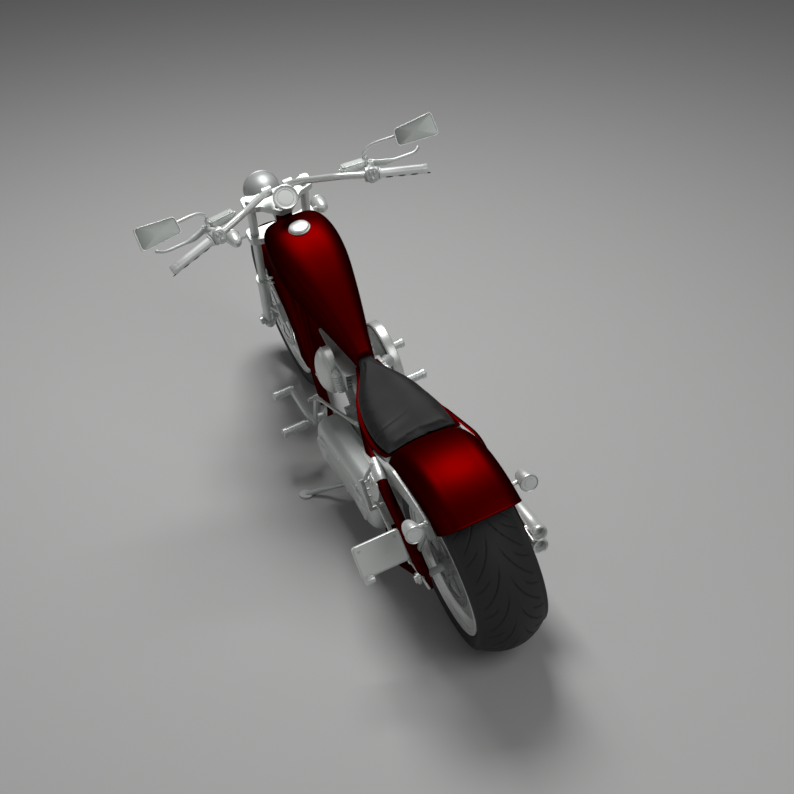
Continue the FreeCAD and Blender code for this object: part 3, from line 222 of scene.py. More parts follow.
def finish(name, colour, second, roughness, grain, scales=(6, 220), **sockets):
    """A finish whose shade and roughness drift over the surface, with a fine grain of the given depth."""
    material = new_material(name, **sockets)
    tree = material.node_tree
    shader = tree.nodes["Principled BSDF"]
    effect = tree.nodes.new("ShaderNodeGroup")
    effect.node_tree = MOTTLE
    effect.inputs["Colour A"].default_value = (*colour, 1)
    effect.inputs["Colour B"].default_value = (*second, 1)
    effect.inputs["Coarse Scale"].default_value = scales[0]
    effect.inputs["Fine Scale"].default_value = scales[1]
    effect.inputs["Roughness Low"].default_value = roughness[0]
    effect.inputs["Roughness High"].default_value = roughness[1]
    tree.links.new(effect.outputs["Colour"], shader.inputs["Base Color"])
    tree.links.new(effect.outputs["Roughness"], shader.inputs["Roughness"])
    relief = tree.nodes.new("ShaderNodeBump")
    relief.inputs["Strength"].default_value = GRAIN_STRENGTH
    relief.inputs["Distance"].default_value = grain
    tree.links.new(effect.outputs["Height"], relief.inputs["Height"])
    tree.links.new(relief.outputs["Normal"], shader.inputs["Normal"])
    return material


# Finishes
# Deep red paint over metal flake, satin-plated and cast metals, rubber, leather, and clear lenses. Every
# carried-over piece gets the finish of its own slot.
RED_PAINT = finish("candy_red_paint", (0.088, 0.0, 0.0), (0.074, 0.0, 0.0), (0.44, 0.50), 0.00002,
                   Metallic=1.0, Specular_Tint=(0.14, 0.0, 0.0, 1))
CHROME = finish("satin_chrome", (0.84, 0.86, 0.84), (0.78, 0.80, 0.78), (0.32, 0.40), 0.00003, Metallic=0.5)
SATIN = finish("satin_metal", (0.70, 0.73, 0.71), (0.62, 0.65, 0.63), (0.38, 0.48), 0.00005, Metallic=0.5)
CAST = finish("cast_aluminium", (0.60, 0.62, 0.61), (0.50, 0.52, 0.51), (0.42, 0.55), 0.0002, Metallic=0.5)
STEEL = finish("ground_steel", (0.52, 0.53, 0.53), (0.44, 0.45, 0.45), (0.28, 0.40), 0.00006, Metallic=0.95)
TYRE_RUBBER = finish("tyre_rubber", (0.016, 0.016, 0.017), (0.024, 0.024, 0.025), (0.62, 0.78), 0.0003)
BELT_RUBBER = finish("belt_rubber", (0.018, 0.018, 0.018), (0.03, 0.03, 0.03), (0.55, 0.7), 0.0002)
SEAT_LEATHER = finish("seat_leather", (0.009, 0.009, 0.0095), (0.014, 0.014, 0.0145), (0.58, 0.70), 0.0006,
                      scales=(5, 420), Specular_IOR_Level=0.28)
COVER_WHITE = finish("bright_cover", (0.88, 0.90, 0.89), (0.82, 0.84, 0.83), (0.36, 0.44), 0.00003,
                     Metallic=0.15)
PLATE_PAINT = finish("plate_paint", (0.88, 0.90, 0.88), (0.82, 0.84, 0.82), (0.35, 0.45), 0.00004)
MIRROR_GLASS = finish("mirror_glass", (0.32, 0.34, 0.325), (0.29, 0.31, 0.295), (0.34, 0.42), 0.00002,
                      Metallic=0.6)
LENS_GLASS = finish("lens_glass", (0.80, 0.83, 0.83), (0.76, 0.79, 0.79), (0.08, 0.14), 0.00002, Metallic=0.3)
SLOT_FINISH = {
    "red_paint": RED_PAINT, "chrome": CHROME, "satin_metal": SATIN, "aluminium": CAST, "wheel_alloy": CHROME,
    "steel": STEEL, "tyre": TYRE_RUBBER, "belt": BELT_RUBBER, "grip": SATIN, "seat": SEAT_LEATHER,
    "lens": LENS_GLASS, "plate": PLATE_PAINT,
}
for part in frame["record"]["subparts"]:
    mesh = nodes[part["node"]].data
    mesh.materials.clear()
    mesh.materials.append(SLOT_FINISH[part["material_slot"]])

# Tyres
# Black rubber tyres, a very wide one behind and a narrow one in front, with round crowns. Curved sipes
# are moulded into the tread, and each bead is seated behind its rim's lip.
REAR = {"centre": REAR_AXLE, "radius": 0.328, "half": 0.121, "crown": 0.165, "rim": 0.229, "bead": 0.106}
FRONT = {"centre": FRONT_AXLE, "radius": 0.350, "half": 0.050, "crown": 0.060, "rim": 0.267, "bead": 0.038}
SHOULDER_SHARE = 0.86
WIDEST_SHARE = 0.42
SIPE_WIDTH = 0.0028
SIPE_WALL = 1.6
SIPE_END_SLOPE = 12
LONG_SIPE = (0.08, 0.78)
SHORT_SIPE = (0.40, 0.86)
SHORT_SIPE_SWEEP = 0.50
SHORT_SIPE_SHIFT = 0.48
# Painted shade for the sipes: a darker colour that stands in for shade in the grooves.
SIPE_PAINTED_SHADE = (0.006, 0.006, 0.006, 1)
MERGE_DISTANCE = 1e-5


def unit(vectors):
    """Each vector divided by its length."""
    return vectors / np.linalg.norm(vectors, axis=-1, keepdims=True)


def at(*numbers):
    """A point or a list of points in millimetres, as metres."""
    return np.array(numbers, float) / 1000


def round_turn(sides):
    """So many angles, evenly spaced over a full turn."""
    return np.linspace(0, 2 * np.pi, sides, endpoint=False)


def smooth_path(points, samples):
    """A Catmull-Rom curve through the rows of points, with so many samples to a span."""
    p = np.asarray(points, float)
    p = np.concatenate([[2 * p[0] - p[1]], p, [2 * p[-1] - p[-2]]])
    a, b, c, d = p[:-3, None], p[1:-2, None], p[2:-1, None], p[3:, None]
    t = np.linspace(0, 1, samples, endpoint=False)[None, :, None]
    bend, twist = 2 * a - 5 * b + 4 * c - d, 3 * b - a - 3 * c + d
    curve = 0.5 * (2 * b + (c - a) * t + bend * t**2 + twist * t**3)
    return np.concatenate([curve.reshape(-1, p.shape[1]), p[-2:-1]])


def grid_faces(rows, columns, wrap_rows, wrap_columns):
    """Quads between neighbouring points of a grid that is numbered row by row."""
    i = np.arange(rows if wrap_rows else rows - 1)[:, None]
    j = np.arange(columns if wrap_columns else columns - 1)[None, :]
    below, right = (i + 1) % rows, (j + 1) % columns
    corners = [i * columns + j, below * columns + j, below * columns + right, i * columns + right]
    return np.stack(corners, axis=-1).reshape(-1, 4)


def make_piece(name, body, material, grids, sharp=35):
    """One object from grids of upright points, each (points, wrap rows, wrap columns).

    The grids are joined, doubled points are merged, which closes seams and poles, and the normals are
    turned outwards. Edges that turn by more than the sharp angle stay crisp, and the rest is smooth.
    """
    points, faces, count = [], [], 0
    for grid, wrap_rows, wrap_columns in grids:
        rows, columns = grid.shape[:2]
        points.append(parked(grid.reshape(-1, 3)))
        faces.append(grid_faces(rows, columns, wrap_rows, wrap_columns) + count)
        count += rows * columns
    mesh = bpy.data.meshes.new(name)
    mesh.from_pydata(np.concatenate(points).tolist(), [], np.concatenate(faces).tolist())
    work = bmesh.new()
    work.from_mesh(mesh)
    bmesh.ops.remove_doubles(work, verts=work.verts, dist=MERGE_DISTANCE)
    bmesh.ops.recalc_face_normals(work, faces=work.faces)
    work.to_mesh(mesh)
    work.free()
    mesh.shade_smooth()
    mesh.set_sharp_from_angle(angle=math.radians(sharp))
    mesh.materials.append(material)
    piece = new_object(name, mesh)
    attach(piece, body)
    return piece


def revolve(origin, axis, profile, sides=64):
    """A profile of (along, radius) rows turned about the axis: each row is a circle at its distance along."""
    axis = unit(np.asarray(axis, float))
    first = unit(np.cross(axis, [0.31, 0.17, 0.93]))
    second = np.cross(axis, first)
    turn = round_turn(sides)[:, None, None]
    along, radius = np.asarray(profile, float).T[:, None, :, None]
    return origin + along * axis + radius * (np.cos(turn) * first + np.sin(turn) * second), True, False


def tyre_profile(tyre, crown_points):
    """The closed section of a tyre as rows of (y, r), and the number of rows before its crown.

    The crown is an arc of a circle. A smooth curve runs from there over the widest line to the bead, and
    the two beads are joined inside the rim.
    """
    shoulder = SHOULDER_SHARE * tyre["half"]
    y = np.linspace(-shoulder, shoulder, crown_points)
    r = tyre["radius"] - tyre["crown"] + np.sqrt(tyre["crown"]**2 - y**2)
    wide = tyre["rim"] + WIDEST_SHARE * (tyre["radius"] - tyre["rim"])
    side = smooth_path([
        (shoulder, r[-1]), (0.975 * tyre["half"], r[-1] - 0.30 * (r[-1] - wide)), (tyre["half"], wide),
        (tyre["bead"] + 0.002, tyre["rim"] + 0.011),
    ], 6)[1:]
    bead = np.array([(tyre["bead"] - 0.009, tyre["rim"] + 0.0004)])
    left = np.concatenate([side, bead])
    right = left[::-1] * [-1, 1]
    return np.concatenate([right, np.stack([y, r], axis=1), left]), len(right)


def sipe_depth(distance, across, half, pitch, reach, span, shift):
    """How deep the sipes cut, from 0 to 1, over a grid of distance round the tyre and distance across it.

    A sipe leaves the middle along the tyre and swings outwards: its place round the tyre grows with the
    square root of its distance across. The gap to the nearest one gives a soft-edged groove.
    """
    start, stop = span
    t = np.clip((across / half - start) / (stop - start), 0, 1)
    line = reach * np.sqrt(t)
    gap = (distance - line - shift + pitch / 2) % pitch - pitch / 2
    slope = reach * 0.5 / np.sqrt(np.maximum(t, 0.02)) / (half * (stop - start))
    gap = np.abs(gap) / np.sqrt(1 + slope**2)
    ends = np.clip(np.minimum(across / half - start, stop - across / half) * SIPE_END_SLOPE, 0, 1)
    return np.clip(SIPE_WALL - gap / SIPE_WIDTH * SIPE_WALL, 0, 1) * ends


def make_tyre(end, tyre, rows, crown_points, pitches, sweep, depth):
    """A tyre: its section turned about the axle, with sipes of two lengths sunk into each half of the crown.

    The two halves are half a pitch apart. A point attribute holds how deep each groove is, and the tyre's material
    paints shade into the grooves from it.
    """
    profile, sides = tyre_profile(tyre, crown_points)
    turn = round_turn(rows)[:, None]
    y = np.broadcast_to(profile[:, 0], (rows, len(profile)))
    radius = np.broadcast_to(profile[:, 1], y.shape).copy()
    pitch = 2 * np.pi * tyre["radius"] / pitches
    distance = turn * tyre["radius"] + np.where(y > 0, 0.0, pitch * 0.5)
    across = np.abs(y)
    long = sipe_depth(distance, across, tyre["half"], pitch, sweep * pitch, LONG_SIPE, 0.0)
    short = sipe_depth(distance, across, tyre["half"], pitch, SHORT_SIPE_SWEEP * pitch, SHORT_SIPE,
                       SHORT_SIPE_SHIFT * pitch)
    on_crown = (np.arange(len(profile)) >= sides) & (np.arange(len(profile)) < sides + crown_points)
    groove = np.maximum(long, short) * on_crown
    radius -= depth * groove
    grid = tyre["centre"] + np.stack([radius * np.cos(turn), y, radius * np.sin(turn)], axis=-1)
    piece = make_piece(end + "_tyre_tread", end + "_wheel", TYRE_RUBBER, [(grid, True, True)], 60)
    piece.data.attributes.new("groove", "FLOAT", "POINT").data.foreach_set("value", groove.ravel())
    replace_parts(piece, end + "_tyre")


# Painted shade: the sunk sipes are coloured darker than the tread round them, by their depth, to stand in for
# shade in the grooves.
tree = TYRE_RUBBER.node_tree
sipe_shade_mask = tree.nodes.new("ShaderNodeAttribute")
sipe_shade_mask.attribute_name = "groove"
sipe_painted_shade = tree.nodes.new("ShaderNodeMix")
sipe_painted_shade.data_type = "RGBA"
sipe_painted_shade.inputs["B"].default_value = SIPE_PAINTED_SHADE
tree.links.new(sipe_shade_mask.outputs["Fac"], sipe_painted_shade.inputs["Factor"])
shader = tree.nodes["Principled BSDF"]
tree.links.new(shader.inputs["Base Color"].links[0].from_socket, sipe_painted_shade.inputs["A"])
tree.links.new(sipe_painted_shade.outputs["Result"], shader.inputs["Base Color"])
make_tyre("rear", REAR, rows=640, crown_points=104, pitches=20, sweep=1.6, depth=0.0030)
make_tyre("front", FRONT, rows=460, crown_points=36, pitches=24, sweep=0.95, depth=0.0025)

# Wheels
# Polished alloy wheels, cast and then turned: a wide lip with a rolled edge, a stepped well, a flanged
# hub and five spokes, each split into two legs.
SPOKES = 5
SPOKE_THICKNESS = (0.0075, 0.0060)
LEG_SPREAD = (0.012, 0.016)
HUB_BORE = 0.014


def blade(path, across, width, thickness, sides=24, fullness=0.55):
    """A flat bar along a path: closed superellipse sections, closed at both ends.

    across points along each section's width; the thickness is square to that and to the path. Width and
    thickness are half sizes, one number or one for each path point.
    """
    path = np.asarray(path, float)
    ahead = unit(np.gradient(path, axis=0))
    across = np.broadcast_to(np.asarray(across, float), path.shape)
    across = unit(across - ahead * np.sum(across * ahead, axis=1, keepdims=True))
    square = np.cross(ahead, across)
    turn = round_turn(sides)
    c, s = np.cos(turn), np.sin(turn)
    c, s = np.sign(c) * np.abs(c)**fullness, np.sign(s) * np.abs(s)**fullness
    width = np.broadcast_to(width, len(path))[:, None, None]
    thickness = np.broadcast_to(thickness, len(path))[:, None, None]
    rows = path[:, None] + width * c[None, :, None] * across[:, None]
    rows = rows + thickness * s[None, :, None] * square[:, None]
    inset = 0.8 * rows + 0.2 * path[:, None]
    tips = [np.repeat(path[i][None, None], sides, axis=1) for i in (0, -1)]
    return np.concatenate([tips[0], inset[:1], rows, inset[-1:], tips[1]]), False, True


def tube(path, radius, sides=20, across=(0.05, 0.02, 1)):
    """A round bar along a path, with one radius or one for each path point."""
    return blade(path, across, radius, radius, sides, 1.0)


def spun(points, centre, degrees):
    """Points turned about the wheel axis through centre."""
    turn = math.radians(degrees)
    c, s = math.cos(turn), math.sin(turn)
    x, y, z = (points - centre).T
    return centre + np.stack([x * c - z * s, y, x * s + z * c], axis=1)


def rim_section(tyre):
    """The rim's closed section as rows of (y, r), from one rolled lip over the well to the other."""
    lip, bead, rim = tyre["rim"] + 0.010, tyre["bead"], tyre["rim"]
    well = rim - 0.022
    side = np.array([
        (bead - 0.009, rim), (bead + 0.003, lip - 0.0012), (bead + 0.0055, lip),
        (bead + 0.0085, lip - 0.002), (bead + 0.009, lip - 0.006), (bead + 0.0085, lip - 0.0105),
        (bead + 0.006, lip - 0.012), (bead + 0.003, lip - 0.013), (bead + 0.001, lip - 0.0185),
        (bead - 0.003, lip - 0.0205), (bead - 0.006, lip - 0.0295), (bead - 0.014, well - 0.008),
        (bead - 0.018, well - 0.012),
    ])
    return np.concatenate([side, side[::-1] * [-1, 1]])


def make_wheel(node, tyre, hub_half, hub_radius, spoke_half):
    """A wheel: rim and hub turned about the axle, and spokes that each split into two legs.

    The legs of a spoke part with the power 1.5 of the reach, and their width dips by a sine.
    """
    rim, _, _ = revolve(tyre["centre"], Y, rim_section(tyre), 160)
    h, r = hub_half, hub_radius
    hub = revolve(tyre["centre"], Y, [
        (-h, HUB_BORE), (-h, r - 0.003), (-h + 0.003, r), (-h + 0.009, r), (-h + 0.014, r - 0.007),
        (h - 0.014, r - 0.007), (h - 0.009, r), (h - 0.003, r), (h, r - 0.003), (h, HUB_BORE),
        (-h, HUB_BORE)], 64)
    grids = [(rim, True, True), hub]
    inner, outer = r - 0.010, tyre["rim"] - 0.030
    steps = np.linspace(0, 1, 9)
    width = spoke_half * (1.02 - 0.25 * np.sin(np.pi * steps))
    thickness = np.interp(steps, (0, 1), SPOKE_THICKNESS)
    for k in range(SPOKES):
        for side in (1, -1):
            spread = side * (LEG_SPREAD[0] + LEG_SPREAD[1] * steps**1.5)
            leg = tyre["centre"] + np.stack([inner + (outer - inner) * steps, 0 * steps, spread], axis=1)
            grids.append(blade(spun(leg, tyre["centre"], 360 / SPOKES * k), Y, width, thickness, 20, 0.5))
    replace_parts(make_piece(node + "_alloy", node, CHROME, grids), node)


make_wheel("rear_wheel", REAR, hub_half=0.082, hub_radius=0.044, spoke_half=0.026)
make_wheel("front_wheel", FRONT, hub_half=0.047, hub_radius=0.036, spoke_half=0.017)

# Fenders
# Pressed steel fenders in the red paint, open below. Their edges are rolled round a wire. The rear one
# is as wide as the tyre and ends in a slanted edge, and the front one hangs far down behind its tyre.
SHEET_THICKNESS = 0.004
EDGE_WIRE = 0.0034
CROWN_RISE = 0.005
REAR_EDGE_LINE = at((-148, 263), (-300, 374.5))


def arch_section(outer, half, skirt, corner, points=9):
    """A fender's section as (y, r) rows: straight skirts, quarter-circle shoulders and a parabolic crown."""
    turn = np.linspace(0, np.pi / 2, points)
    y = half - corner * (1 - np.cos(turn))
    r = outer - corner * (1 - np.sin(turn))
    wall = np.linspace(skirt, r[0], 6)[:-1]
    top = np.linspace(half - corner, 0, 9)[1:]
    rise = CROWN_RISE * (1 - (top / (half - corner))**2)
    side = np.concatenate([
        np.stack([np.full(5, half), wall], axis=1),
        np.stack([y, r], axis=1),
        np.stack([top, outer + rise], axis=1)])
    return np.concatenate([side, side[-2::-1] * [-1, 1]])


def shell_grids(outer, inner):
    """A closed sheet from two grids of one shape: a loop of both for the faces, and a strip for each end."""
    loop = np.concatenate([outer, inner[:, ::-1]], axis=1)
    return [(loop, False, True)] + [(np.stack([outer[i], inner[i]]), False, False) for i in (0, -1)]


def fender_grid(centre, section, start, stop, steps):
    """The section swept round the wheel: each of its points runs from start to its own stop angle."""
    share = np.linspace(0, 1, steps)[:, None]
    angle = start + (stop - start) * share
    y, r = section.T
    return centre + np.stack([r * np.cos(angle), np.broadcast_to(y, angle.shape), r * np.sin(angle)], axis=-1)


def slanted_end(radius):
    """The angle at which a circle about the rear axle meets the straight line of the fender's rear edge."""
    first, second = REAR_EDGE_LINE
    along = unit(second - first)
    reach = -first @ along + np.sqrt((first @ along)**2 - first @ first + radius**2)
    met = first + reach[:, None] * along
    return np.arctan2(met[:, 1], met[:, 0])


def make_fender(name, body, centre, outer, half, skirt, corner, start, stop, steps, slanted=False):
    """A fender: two swept sections a sheet's thickness apart, closed at both ends, with wired edges."""
    grids = []
    for grow in (0, SHEET_THICKNESS):
        section = arch_section(outer - grow, half - grow, skirt, corner - grow)
        last = slanted_end(section[:, 1]) if slanted else np.full(len(section), math.radians(stop))
        grids.append(fender_grid(centre, section, math.radians(start), last, steps))
    middle = 0.5 * (grids[0] + grids[1])
    along, across = (0.1, 1, 0.2), (0.9, 0.1, 0.4)
    wires = [tube(edge, EDGE_WIRE, 12, width) for edge, width in (
        (middle[:, 0], along), (middle[-1], across), (middle[:, -1], along))]
    return make_piece(name, body, RED_PAINT, shell_grids(*grids) + wires)


rear_fender = make_fender("rear_fender_shell", "frame", REAR_AXLE, outer=0.404, half=0.136, skirt=0.300,
                          corner=0.060, start=43, stop=127, steps=72, slanted=True)
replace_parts(rear_fender, "rear_fender")
front_fender = make_fender("front_fender_shell", "steering", FRONT_AXLE, outer=0.384, half=0.078, skirt=0.286,
                           corner=0.034, start=82, stop=191, steps=90)
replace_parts(front_fender, "front_fender")

# Fuel tank and its cap
# A welded teardrop of pressed steel in the same red, full-shouldered in front and drawn out to a point
# under the seat's nose. A soft ridge follows its widest line. The domed cap has a stepped chrome skirt.
TANK_STATIONS = at(
    (1360, 50, 978, 892), (1338, 92, 992, 868), (1290, 120, 1012, 838), (1190, 130, 1014, 802),
    (1090, 124, 983, 768), (990, 102, 927, 735), (890, 75, 854, 700), (800, 49, 778, 660),
    (742, 34, 718, 640))
WIDE_SHARE = 0.36
WIDTH_POWERS = (0.56, 0.72)
RISE_POWERS = (0.45, 0.94)
END_ROWS = ((0, 0.004), (0.6, 0.0036), (0.9, 0.002))


def tank_grid():
    """The tank's sections: a superellipse above the widest line and another below, along the stations.

    A station is (x, half width, top, bottom). Each end is closed by rows that shrink to the section's middle.
    """
    x, half, top, bottom = smooth_path(TANK_STATIONS, 10).T[:, :, None]
    turn = round_turn(96)[None]
    c, s = np.cos(turn), np.sin(turn)
    upper = s >= 0
    middle = bottom + WIDE_SHARE * (top - bottom)
    y = half * np.sign(c) * np.abs(c)**np.where(upper, *WIDTH_POWERS)
    rise = np.abs(s)**np.where(upper, *RISE_POWERS)
    z = np.where(upper, middle + rise * (top - middle), middle - rise * (middle - bottom))
    grid = np.stack([np.broadcast_to(x, y.shape), y, z], axis=-1)
    ends = []
    for row, side in ((grid[0], 1), (grid[-1], -1)):
        centre = row.mean(axis=0)
        ends.append([centre + (row - centre) * share + [side * out, 0, 0] for share, out in END_ROWS])
    return np.concatenate([ends[0], grid, ends[1][::-1]])


fuel_tank = make_piece("fuel_tank_shell", "frame", RED_PAINT, [(tank_grid(), False, True)], 70)
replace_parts(fuel_tank, "fuel_tank")
CAP_AT = at(1188, 0, 1010)
CAP_UP = unit(np.array([-0.12, 0, 1.0]))
CAP_PROFILE = at(
    (0, 0), (0, 40), (3.5, 40.5), (5, 39.5), (5.5, 38), (9, 38), (12, 36), (14.5, 30), (16, 20), (16.5, 0))
fuel_cap = make_piece("fuel_cap_dome", "frame", CHROME, [revolve(CAP_AT, CAP_UP, CAP_PROFILE, 72)])
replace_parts(fuel_cap, "fuel_cap")

# Seat
# A low one-person seat: foam under black leather, on a pan of painted sheet that runs back into the
# fender. Cloth simulation fills it from the seat's own solid, and a crease is pressed in at its left rear.
PAN_STATIONS = at((742, 32, 668), (700, 50, 641), (630, 88, 615), (530, 119, 604), (410, 133, 604),
                  (330, 133, 612), (280, 130, 626), (252, 126, 636))
PAN_LIP = 0.010
PAN_DROP = 0.0035
PAN_HALF_THICKNESS = 0.0032
SEAT_VOXEL = 0.006
SEAT_INSET = 0.003
SEAT_CAP = 0.006
SEAT_PRESSURE = 4
SEAT_STEPS = 20
CREASE_START = 0.363
CREASE_CURVE = 1.68
SEAT_LEFT = 0.155
CREASE_DEPTH = 0.0035
CREASE_WIDTH = 0.006
DIP_DEPTH = 0.005
DIP_LENGTH = 0.05
FADE_START = -0.03
FADE_LENGTH = 0.08

edge = smooth_path(PAN_STATIONS, 6)
pan_line = np.stack([edge[:, 0], 0 * edge[:, 0], edge[:, 2] - PAN_DROP], axis=1)
make_piece("seat_pan", "frame", RED_PAINT, [
    blade(pan_line, Y, edge[:, 1] + PAN_LIP, PAN_HALF_THICKNESS, 40, 0.35)])


def seat_mesh():
    """A copy of the seat's solid whose loose triangles are merged."""
    mesh = nodes["seat"].data.copy()
    work = bmesh.new()
    work.from_mesh(mesh)
    bmesh.ops.remove_doubles(work, verts=work.verts, dist=MERGE_DISTANCE)
    work.to_mesh(mesh)
    work.free()
    return mesh


def apply_modifiers(piece):
    """Works the piece's modifiers into its mesh."""
    shown = bpy.context.evaluated_depsgraph_get()
    mesh = bpy.data.meshes.new_from_object(piece.evaluated_get(shown))
    piece.modifiers.clear()
    piece.data = mesh


def vertex_rows(mesh, label):
    """The mesh's vertex places or normals, as rows of three numbers."""
    values = np.empty(len(mesh.vertices) * 3)
    mesh.vertices.foreach_get(label, values)
    return values.reshape(-1, 3)


def creased(points, up):
    """The cushion's points with a soft fold: its line runs back as the square of the distance from the left.

    The fold is a bell curve deep, the leather behind it dips by a smooth step, and both fade to the right.
    """
    x, y, _ = ((points - LEAN_SHIFT) @ LEAN_TURN).T
    behind = CREASE_START + CREASE_CURVE * (SEAT_LEFT - y)**2 - x
    fade = np.clip((y - FADE_START) / FADE_LENGTH, 0, 1) * np.clip(up * 2, 0, 1)
    step = np.clip(behind / DIP_LENGTH, 0, 1)
    depth = CREASE_DEPTH * np.exp(-(behind / CREASE_WIDTH)**2) + DIP_DEPTH * step**2 * (3 - 2 * step)
    return points - (depth * fade)[:, None] * LEAN_TURN[:, 2]


seat = new_object("seat_cushion", seat_mesh())
remesh = seat.modifiers.new("remesh", "REMESH")
remesh.mode = "VOXEL"
remesh.voxel_size = SEAT_VOXEL
apply_modifiers(seat)
normals = vertex_rows(seat.data, "normal")
start = vertex_rows(seat.data, "co") - SEAT_INSET * normals
seat.data.vertices.foreach_set("co", start.ravel())
cloth = seat.modifiers.new("cloth", "CLOTH")
cloth.settings.use_pressure = True
cloth.settings.uniform_pressure_force = SEAT_PRESSURE
cloth.settings.effector_weights.gravity = 0
for step in range(1, SEAT_STEPS + 1):
    bpy.context.scene.frame_set(step)
apply_modifiers(seat)
moved = vertex_rows(seat.data, "co") - start
far = np.linalg.norm(moved, axis=1, keepdims=True)
moved *= np.minimum(1, SEAT_CAP / np.maximum(far, 1e-9))
seat.data.vertices.foreach_set("co", (start + moved).ravel())
seat.data.vertices.foreach_set("co", creased(vertex_rows(seat.data, "co"), normals[:, 2]).ravel())
seat.data.shade_smooth()
seat.data.materials.clear()
seat.data.materials.append(SEAT_LEATHER)
subdivide = seat.modifiers.new("subdivide", "SUBSURF")
subdivide.levels = subdivide.render_levels = 1
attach(seat, "frame")
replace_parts(seat, "seat")

# Headlight, gauge and indicators
# Spun shells: a domed headlight in dull metal with a stepped clear lens, a cup-shaped chrome gauge with
# a blank dial, and four bullet indicators on short stalks from the fork and the rear struts.
UP_FORK = np.array([-0.469, 0, 0.883])
AHEAD_FORK = np.array([0.883, 0, 0.469])
HEADLIGHT_AT = at(1635, 0, 976)
BEAM = unit(np.array([0.985, 0, -0.17]))
HEADLIGHT_PROFILE = np.concatenate([
    smooth_path(at((-80, 0), (-78, 12), (-70, 24), (-46, 49), (-14, 64), (20, 67)), 8),
    at((28, 67), (28.5, 70), (31, 71.5), (36, 72), (41, 71.5), (44.5, 69.5), (45.4, 66), (45.4, 0))])
LENS_PROFILE = at(
    (46, 0), (46, 65), (49, 64), (51, 56), (51.5, 48), (50.6, 46), (51.9, 44), (52, 20), (52.2, 0))
headlight = make_piece("headlight_shell", "steering", CAST, [
    revolve(HEADLIGHT_AT, BEAM, HEADLIGHT_PROFILE, 96),
    tube(at((1477, 0, 894), (1520, 0, 930), (1590, 0, 978)), 0.016),
    tube(at((1494, 0, 886), (1470, 0, 940)), 0.016),
    revolve(at(1477, 0, 894), UP_FORK, at((-30, 0), (-30, 20), (-26, 23), (-10, 23), (-6, 17), (-6, 0)), 32),
])
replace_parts(headlight, "headlight")
headlight_glass = make_piece("headlight_glass", "steering", LENS_GLASS, [
    revolve(HEADLIGHT_AT, BEAM, LENS_PROFILE, 96)])
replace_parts(headlight_glass, "headlight_lens")

GAUGE_AT = at(1266, 0, 1108)
GAUGE_FACE = unit(np.array([-0.72, 0, 0.69]))
GAUGE_PROFILE = at(
    (-46, 0), (-46, 30), (-43.5, 33.5), (-36, 35), (-11, 42.5), (-9.5, 45), (-7, 46.2), (1, 46.2), (3, 45.2),
    (3.8, 43.4), (2.8, 41.4), (-1.5, 40), (-1.5, 31.6), (0.6, 31), (0.6, 28.8), (-1.5, 28.2), (-1.5, 0))
DIAL_PROFILE = at(
    (-1.45, 0), (-1.45, 39.2), (-0.6, 39.2), (-0.6, 34), (-0.9, 33.4), (-0.6, 32.8), (-0.2, 20), (0, 0))
gauge_arm = GAUGE_AT + at([-38], [-54], [-72]) * GAUGE_FACE + at((0, 0, 0), (4, 0, 0), (24, 0, 6))
gauge_cup = make_piece("gauge_cup", "steering", CHROME, [
    revolve(GAUGE_AT, GAUGE_FACE, GAUGE_PROFILE, 80), tube(gauge_arm, 0.011)])
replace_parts(gauge_cup, "gauge")
make_piece("gauge_dial", "steering", PLATE_PAINT, [revolve(GAUGE_AT, GAUGE_FACE, DIAL_PROFILE, 80)])


def both_sides(grids):
    """The grids and their mirror images on the machine's other side."""
    return grids + [(grid * [1, -1, 1], rows, columns) for grid, rows, columns in grids]


def fork_point(up, side, ahead=0.0):
    """A point of the fork in millimetres: up the legs, out to the side and ahead of them."""
    return FRONT_AXLE + (up * UP_FORK + side * Y + ahead * AHEAD_FORK) / 1000


SIGNAL_SHELL = np.concatenate([
    at((-42.4, 0)), smooth_path(at((-42.2, 3), (-40.5, 8), (-26, 20), (4, 27), (29, 28.2)), 6),
    at((29.5, 30.2), (31, 31), (36, 31), (38.5, 30.2), (39, 28.6), (37.5, 27), (34.5, 26.4), (34.5, 0))])
SIGNAL_LENS = at((34, 0), (34, 26), (36.6, 25.6), (37.4, 22), (37.2, 16.6), (38.4, 15.6), (39, 8), (39.2, 0))
STALK_FOOT = at((0, 0), (0, 11), (4, 12), (10, 11), (13, 8), (13, 0))
for end, body, centre, facing, stalk in (
        ("front", "steering", at(1550, 180, 870), (1, 0, 0), fork_point(600, 128, 14)),
        ("rear", "frame", at(-85, 196, 604), (-0.97, 0, 0.1), at(-92, 141, 604))):
    shells = make_piece(end + "_signal_shells", body, CHROME, both_sides([
        revolve(centre, facing, SIGNAL_SHELL, 56),
        tube(np.stack([centre, 0.5 * (centre + stalk), stalk]), 0.007),
        revolve(stalk, unit(centre - stalk), STALK_FOOT, 28)]))
    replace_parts(shells, end + "_signals")
    make_piece(end + "_signal_lenses", body, LENS_GLASS, both_sides([
        revolve(centre, facing, SIGNAL_LENS, 56)]))

# Fork and its clamps
# Chrome legs in polished sliders, held by two cast clamps. Each slider has a collar, a bright dust seal
# and two bars towards the fender, and domed caps and bolts close the legs and the steering stem.
LEG_SIDE = 107
LEG_CAP = at((-2, 0), (-2, 19), (1, 19.5), (3, 18), (3, 14), (6, 13.4), (8, 10), (8.6, 5), (8.6, 0))
STEM_NUT = at((-2, 0), (-2, 20), (2, 20.5), (6, 19), (7, 15), (11, 14), (13, 9), (13.5, 0))


def screw(place, axis, radius, height=0.0):
    """A round-headed screw: a domed profile turned about its axis, with a socket sunk in the head."""
    height = height or 0.6 * radius
    return revolve(place, axis, np.array([
        (-0.002, 0), (-0.002, radius), (0.55 * height, radius), (0.9 * height, 0.86 * radius),
        (height, 0.6 * radius), (height, 0.48 * radius), (0.35 * height, 0.44 * radius),
        (0.35 * height, 0)]), 20)


